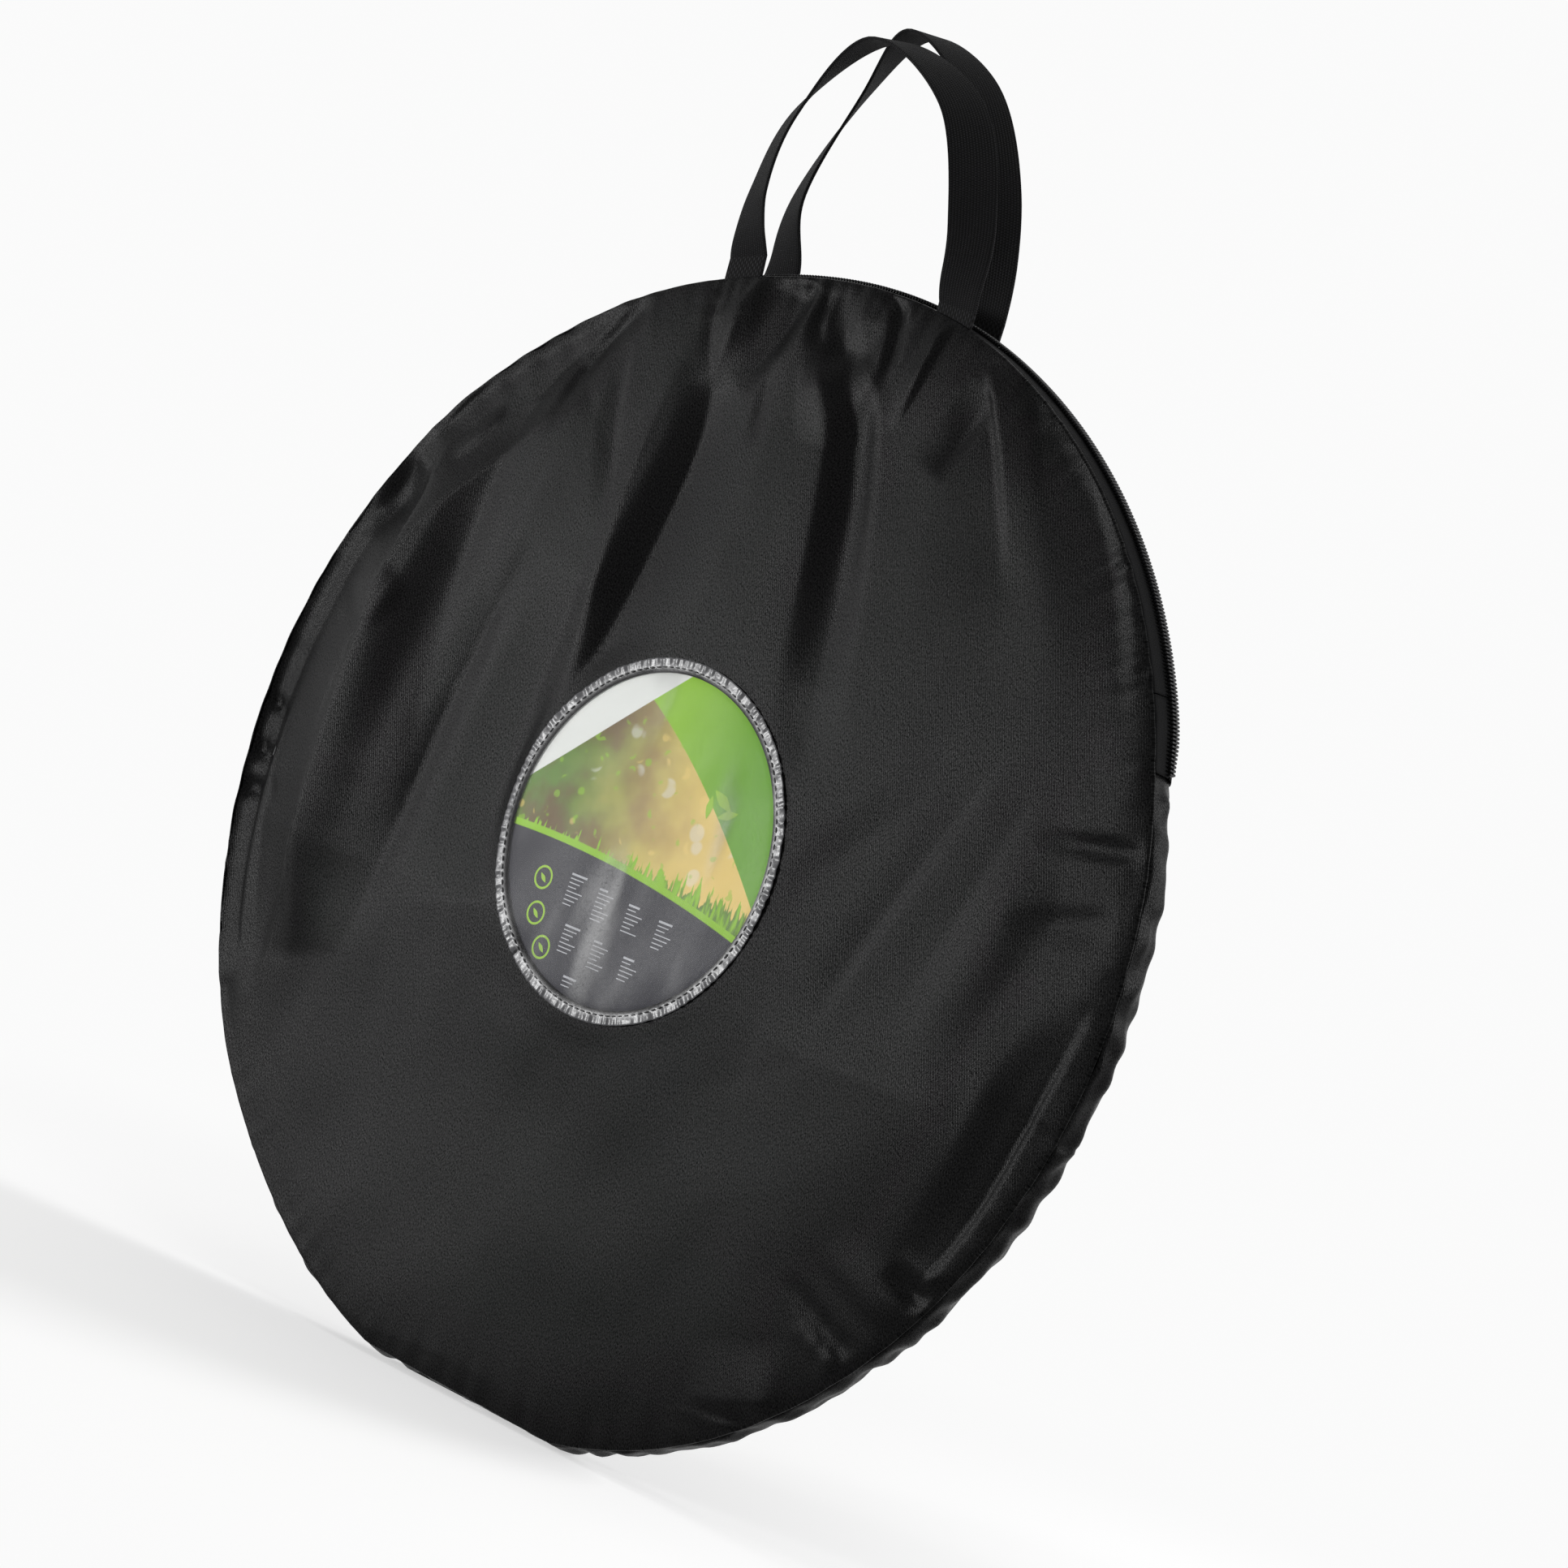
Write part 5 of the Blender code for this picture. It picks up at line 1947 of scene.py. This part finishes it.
        name = f"{self.node(part)}_loop"
        mesh = grid_mesh(name, 40, 6, place, (0.06, self.strap_width * MM))
        item = piece(name, mesh, self.finishes.elastic, (self.node(part),), "case")
        thicken(item, self.elastic_thickness)

    def build(self) -> None:
        """Makes the bag's pieces; its base and toggles keep their CAD shapes."""
        self.wall()
        self.spring()
        self.handle("handle_top", 1)
        self.handle("handle_bottom", -1)
        self.strap("hold_strap_left", -1)
        self.strap("hold_strap_right", 1)


# The studio


@dataclass(frozen=True)
class Lamp:
    """A soft rectangular area light aimed at the case."""

    name: str
    azimuth: float
    elevation: float
    distance: float
    width: float
    height: float
    level: float

    def build(self, target: Vector) -> None:
        """Makes the light; level is what it adds to a white surface that faces it.

        Args:
            target: where it points.
        """
        back = heading(self.azimuth, self.elevation)
        light = bpy.data.lights.new(self.name, "AREA")
        light.shape = "RECTANGLE"
        light.size, light.size_y = self.width, self.height
        light.energy = self.level * math.pi**2 * self.distance**2
        made = bpy.data.objects.new(self.name, light)
        made.location = target + back * self.distance
        made.rotation_euler = back.to_track_quat("Z", "Y").to_euler()
        bpy.context.scene.collection.objects.link(made)


@dataclass(frozen=True)
class Studio:
    """A white floor and surround, soft lights and the photograph's camera."""

    lamps: tuple[Lamp, ...] = (
        Lamp("key", -40, -3, 2.0, 0.26, 0.28, 0.78),
        Lamp("side", -63, 6, 2.0, 0.26, 0.3, 0.22),
        Lamp("fill", 46, 25, 2.4, 1.4, 1.4, 0.04),
        Lamp("rim", 122, 20, 2.0, 0.6, 0.8, 0.7),
        Lamp("top", 10, 82, 2.2, 1.4, 1.4, 0.2),
    )
    seen_white: float = 0.96
    ambient: float = 0.26
    floor_glow: float = 0.5
    floor_answer: float = 0.6
    floor_near: float = 0.3
    floor_far: float = 0.9
    azimuth: float = 41.5
    elevation: float = 2.92077
    roll: float = 21.1454
    distance: float = 2.2
    shift_across: float = 1.07638
    shift_up: float = 1.3495
    frame_turn: float = 2.0
    lens: float = 101.251
    sensor: float = 36.0
    aim_height: float = 0.292

    def build(self) -> None:
        """Makes the floor, the surround, the lights and the camera."""
        target = Vector((0, 0, self.aim_height))
        for lamp in self.lamps:
            lamp.build(target)
        self.surround()
        self.floor()
        self.camera()
        scene = bpy.context.scene
        scene.view_settings.view_transform = "Standard"

    @staticmethod
    def seen(tree: bpy.types.NodeTree) -> Socket:
        """A factor that is 1 for what the camera sees, directly, mirrored or through film.

        Args:
            tree: the node tree that it is added to.

        Returns:
            The factor's output.
        """
        path = tree.nodes.new("ShaderNodeLightPath")
        total = path.outputs["Is Camera Ray"]
        for other in ("Is Glossy Ray", "Is Transmission Ray"):
            most = tree.nodes.new("ShaderNodeMath")
            most.operation = "MAXIMUM"
            tree.links.new(total, most.inputs[0])
            tree.links.new(path.outputs[other], most.inputs[1])
            total = most.outputs[0]
        return total

    def surround(self) -> None:
        """Makes the world white where it is seen and dim where it only lights."""
        world = bpy.data.worlds.new("surround")
        bpy.context.scene.world = world
        world.use_nodes = True
        tree = world.node_tree
        level = tree.nodes.new("ShaderNodeMapRange")
        tree.links.new(self.seen(tree), level.inputs["Value"])
        level.inputs["To Min"].default_value = self.ambient
        level.inputs["To Max"].default_value = self.seen_white
        shade = tree.nodes["Background"]
        shade.inputs["Color"].default_value = (1, 1, 1, 1)
        tree.links.new(level.outputs[0], shade.inputs["Strength"])

    def floor(self) -> None:
        """Makes a floor that glows white where it is seen and keeps the shadow."""
        look = Shading("studio_white")
        look.tree.nodes.remove(look.shader)
        plain = look.node("ShaderNodeBsdfDiffuse")
        plain.inputs["Color"].default_value = (0.8, 0.8, 0.8, 1)
        answer = look.node("ShaderNodeBsdfDiffuse")
        answer.inputs["Color"].default_value = (*(self.floor_answer,) * 3, 1)
        glow, white = look.node("ShaderNodeEmission"), look.node("ShaderNodeEmission")
        glow.inputs["Strength"].default_value = self.floor_glow
        white.inputs["Strength"].default_value = self.seen_white
        length = look.node("ShaderNodeVectorMath", operation="LENGTH")
        look.feed(length.inputs[0], look.place())
        fade = look.node("ShaderNodeMapRange", interpolation_type="SMOOTHERSTEP")
        fade.inputs["From Min"].default_value = self.floor_near
        fade.inputs["From Max"].default_value = self.floor_far
        look.feed(fade.inputs["Value"], length.outputs["Value"])
        near = look.node("ShaderNodeAddShader")
        far, pick = look.node("ShaderNodeMixShader"), look.node("ShaderNodeMixShader")
        for made, given in (
            (near, (answer, glow)), (far, (fade, near, white)), (pick, (self.seen(look.tree), plain, far)),
        ):
            for socket, value in zip(made.inputs, given):
                look.feed(socket, value if isinstance(value, bpy.types.NodeSocket) else value.outputs[0])
        look.feed(look.tree.nodes["Material Output"].inputs["Surface"], pick.outputs[0])
        bm = bmesh.new()
        bmesh.ops.create_grid(bm, x_segments=2, y_segments=2, size=12)
        mesh = mesh_from(bm, "studio_floor")
        mesh.materials.append(look.material)
        made_floor = bpy.data.objects.new("studio_floor", mesh)
        bpy.context.scene.collection.objects.link(made_floor)

    def camera(self) -> None:
        """Sets the camera where the photograph was taken from."""
        back = heading(self.azimuth, self.elevation)
        view = -back
        right = view.cross(Vector((0, 0, 1))).normalized()
        up = right.cross(view)
        right, view = self.swung(right, view, -self.shift_across)
        up, view = self.swung(up, view, -self.shift_up)
        right, up = self.swung(right, up, self.roll)
        turned = Matrix.Rotation(math.radians(self.frame_turn), 4, "Y")
        axes = Matrix((right, up, -view)).transposed().to_4x4()
        data = bpy.data.cameras.new("photo_camera")
        data.lens = self.lens
        data.sensor_width = self.sensor
        made = bpy.data.objects.new("photo_camera", data)
        lift = Matrix.Translation((0, 0, self.aim_height))
        made.matrix_world = lift @ turned @ Matrix.Translation(back * self.distance) @ axes
        bpy.context.scene.collection.objects.link(made)
        bpy.context.scene.camera = made

    @staticmethod
    def swung(first: Vector, second: Vector, degrees: float) -> tuple[Vector, Vector]:
        """Turns two axes together, the first towards the second.

        Args:
            first: one axis.
            second: the other axis.
            degrees: how far they turn.

        Returns:
            Both axes.
        """
        turn = math.radians(degrees)
        return (
            first * math.cos(turn) + second * math.sin(turn),
            second * math.cos(turn) - first * math.sin(turn),
        )


# Putting it together


FRONT_LOOP = (
    (-1, 0, 0), (-1.12, 0.29, 29), (-1.02, 0.63, 43), (-0.47, 0.97, 77),
    (0.41, 0.8, 57), (0.88, 0.36, 28), (1, 0, 0),
)
REAR_LOOP = (
    (-1, 0, 0), (-1.15, 0.31, 34), (-0.87, 0.73, 54), (-0.56, 0.98, 82),
    (0.12, 0.84, 62), (0.62, 0.49, 40), (0.97, 0, 0),
)
REAR_FOLDS = tuple(
    replace(
        fold, line=tuple((9 - 0.94 * x, z - 4) for x, z in fold.line), height=0.7 * fold.height,
        left=fold.right, right=fold.left,
    )
    for fold in FRONT_FOLDS
)


@dataclass(frozen=True)
class Case:
    """The zipped round case with its window, zip, handles and what it holds."""

    form: CaseForm = CaseForm()
    bag_pitch: float = 9.367

    def cloths(self) -> None:
        """Makes the front, the back and the strip between them."""
        front = Drape(self.form, Side.FRONT, FRONT_FOLDS, 11)
        FrontCloth(front, WovenCloth("satin_polyester")).build()
        rear = Drape(self.form, Side.REAR, REAR_FOLDS, 21)
        RearCloth(rear, WovenCloth("satin_polyester_back")).build()
        GussetCloth(Band(self.form), WovenCloth("satin_polyester_side")).build()
        thread = SmoothSolid("black_thread", (0.012, 0.012, 0.013), 0.55, grain=2600, depth=0.05 * MM)
        Window(front, ClearSheet(), PrintedSheet(), thread).build()

    def fastening(self) -> None:
        """Makes the zip and its slider."""
        tape = WovenBand("zip_tape_weave", (0.003, 0.003, 0.0033), 1.0 * MM, 0.8 * MM, 0.08 * MM)
        teeth = SmoothSolid("black_nylon", (0.006, 0.006, 0.0065), 0.38, specular=0.16, grain=1500)
        Zip(Band(self.form), tape, teeth).build()
        grey = (0.06, 0.06, 0.065)
        metal = SmoothSolid("blackened_metal", grey, 0.35, metallic=0.85, grain=1400, wear=0.4)
        Slider(self.form, metal).build()

    def handles(self) -> None:
        """Makes the two carrying loops."""
        webbing = WovenBand("ribbed_webbing", (0.006, 0.006, 0.0064), 1.5 * MM, 1.15 * MM, 0.3 * MM).made()
        for end, body, side, radius, rise, height, knots in (
            ("front", "mouth", Side.FRONT, 300, 130, 580.9, FRONT_LOOP),
            ("rear", "case", Side.REAR, 298, 145, 578.9, REAR_LOOP),
        ):
            bodies = (body, f"{end}_handle")
            sizes = (side, radius, rise, height, knots, self.form)
            Handle(f"{end}_loop", f"handle_{end}", bodies, *sizes).build(webbing)

    def bags(self) -> None:
        """Makes the three folded bags, and finishes the parts that keep their CAD shapes."""
        finishes = BagFinishes(
            WovenCloth("bag_oxford", (0.045, 0.12, 0.05), 0.6, 0.25, 1.1 * MM, 0.08 * MM).made(),
            WovenBand("bag_webbing_weave", (0.02, 0.02, 0.022), 1.5 * MM, 1.1 * MM, 0.2 * MM).made(),
            WovenBand("black_elastic", (0.02, 0.02, 0.022), 1.0 * MM, 1.6 * MM, 0.15 * MM).made(),
            SmoothSolid("spring_steel", (0.5, 0.5, 0.52), 0.25, metallic=1.0, grain=1200, wear=0.15).made(),
        )
        for number in (1, 2, 3):
            FoldedBag(number, (number - 2) * self.bag_pitch, finishes).build()
        board = SmoothSolid("coated_board", (0.03, 0.07, 0.035), 0.55, grain=300, depth=0.1 * MM).made()
        toggle = SmoothSolid("moulded_toggle", (0.02, 0.02, 0.022), 0.35, grain=1100).made()
        for name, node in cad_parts.items():
            for part, finish in (("base_panel", board), ("toggle", toggle)):
                if part in name:
                    node.data.materials.clear()
                    node.data.materials.append(finish)

    def build(self) -> None:
        """Makes every piece of the case."""
        self.cloths()
        self.fastening()
        self.handles()
        self.bags()


def main() -> None:
    logging.basicConfig(level=logging.INFO, format="%(message)s")
    Case().build()
    Studio().build()


if __name__ == "__main__":
    main()
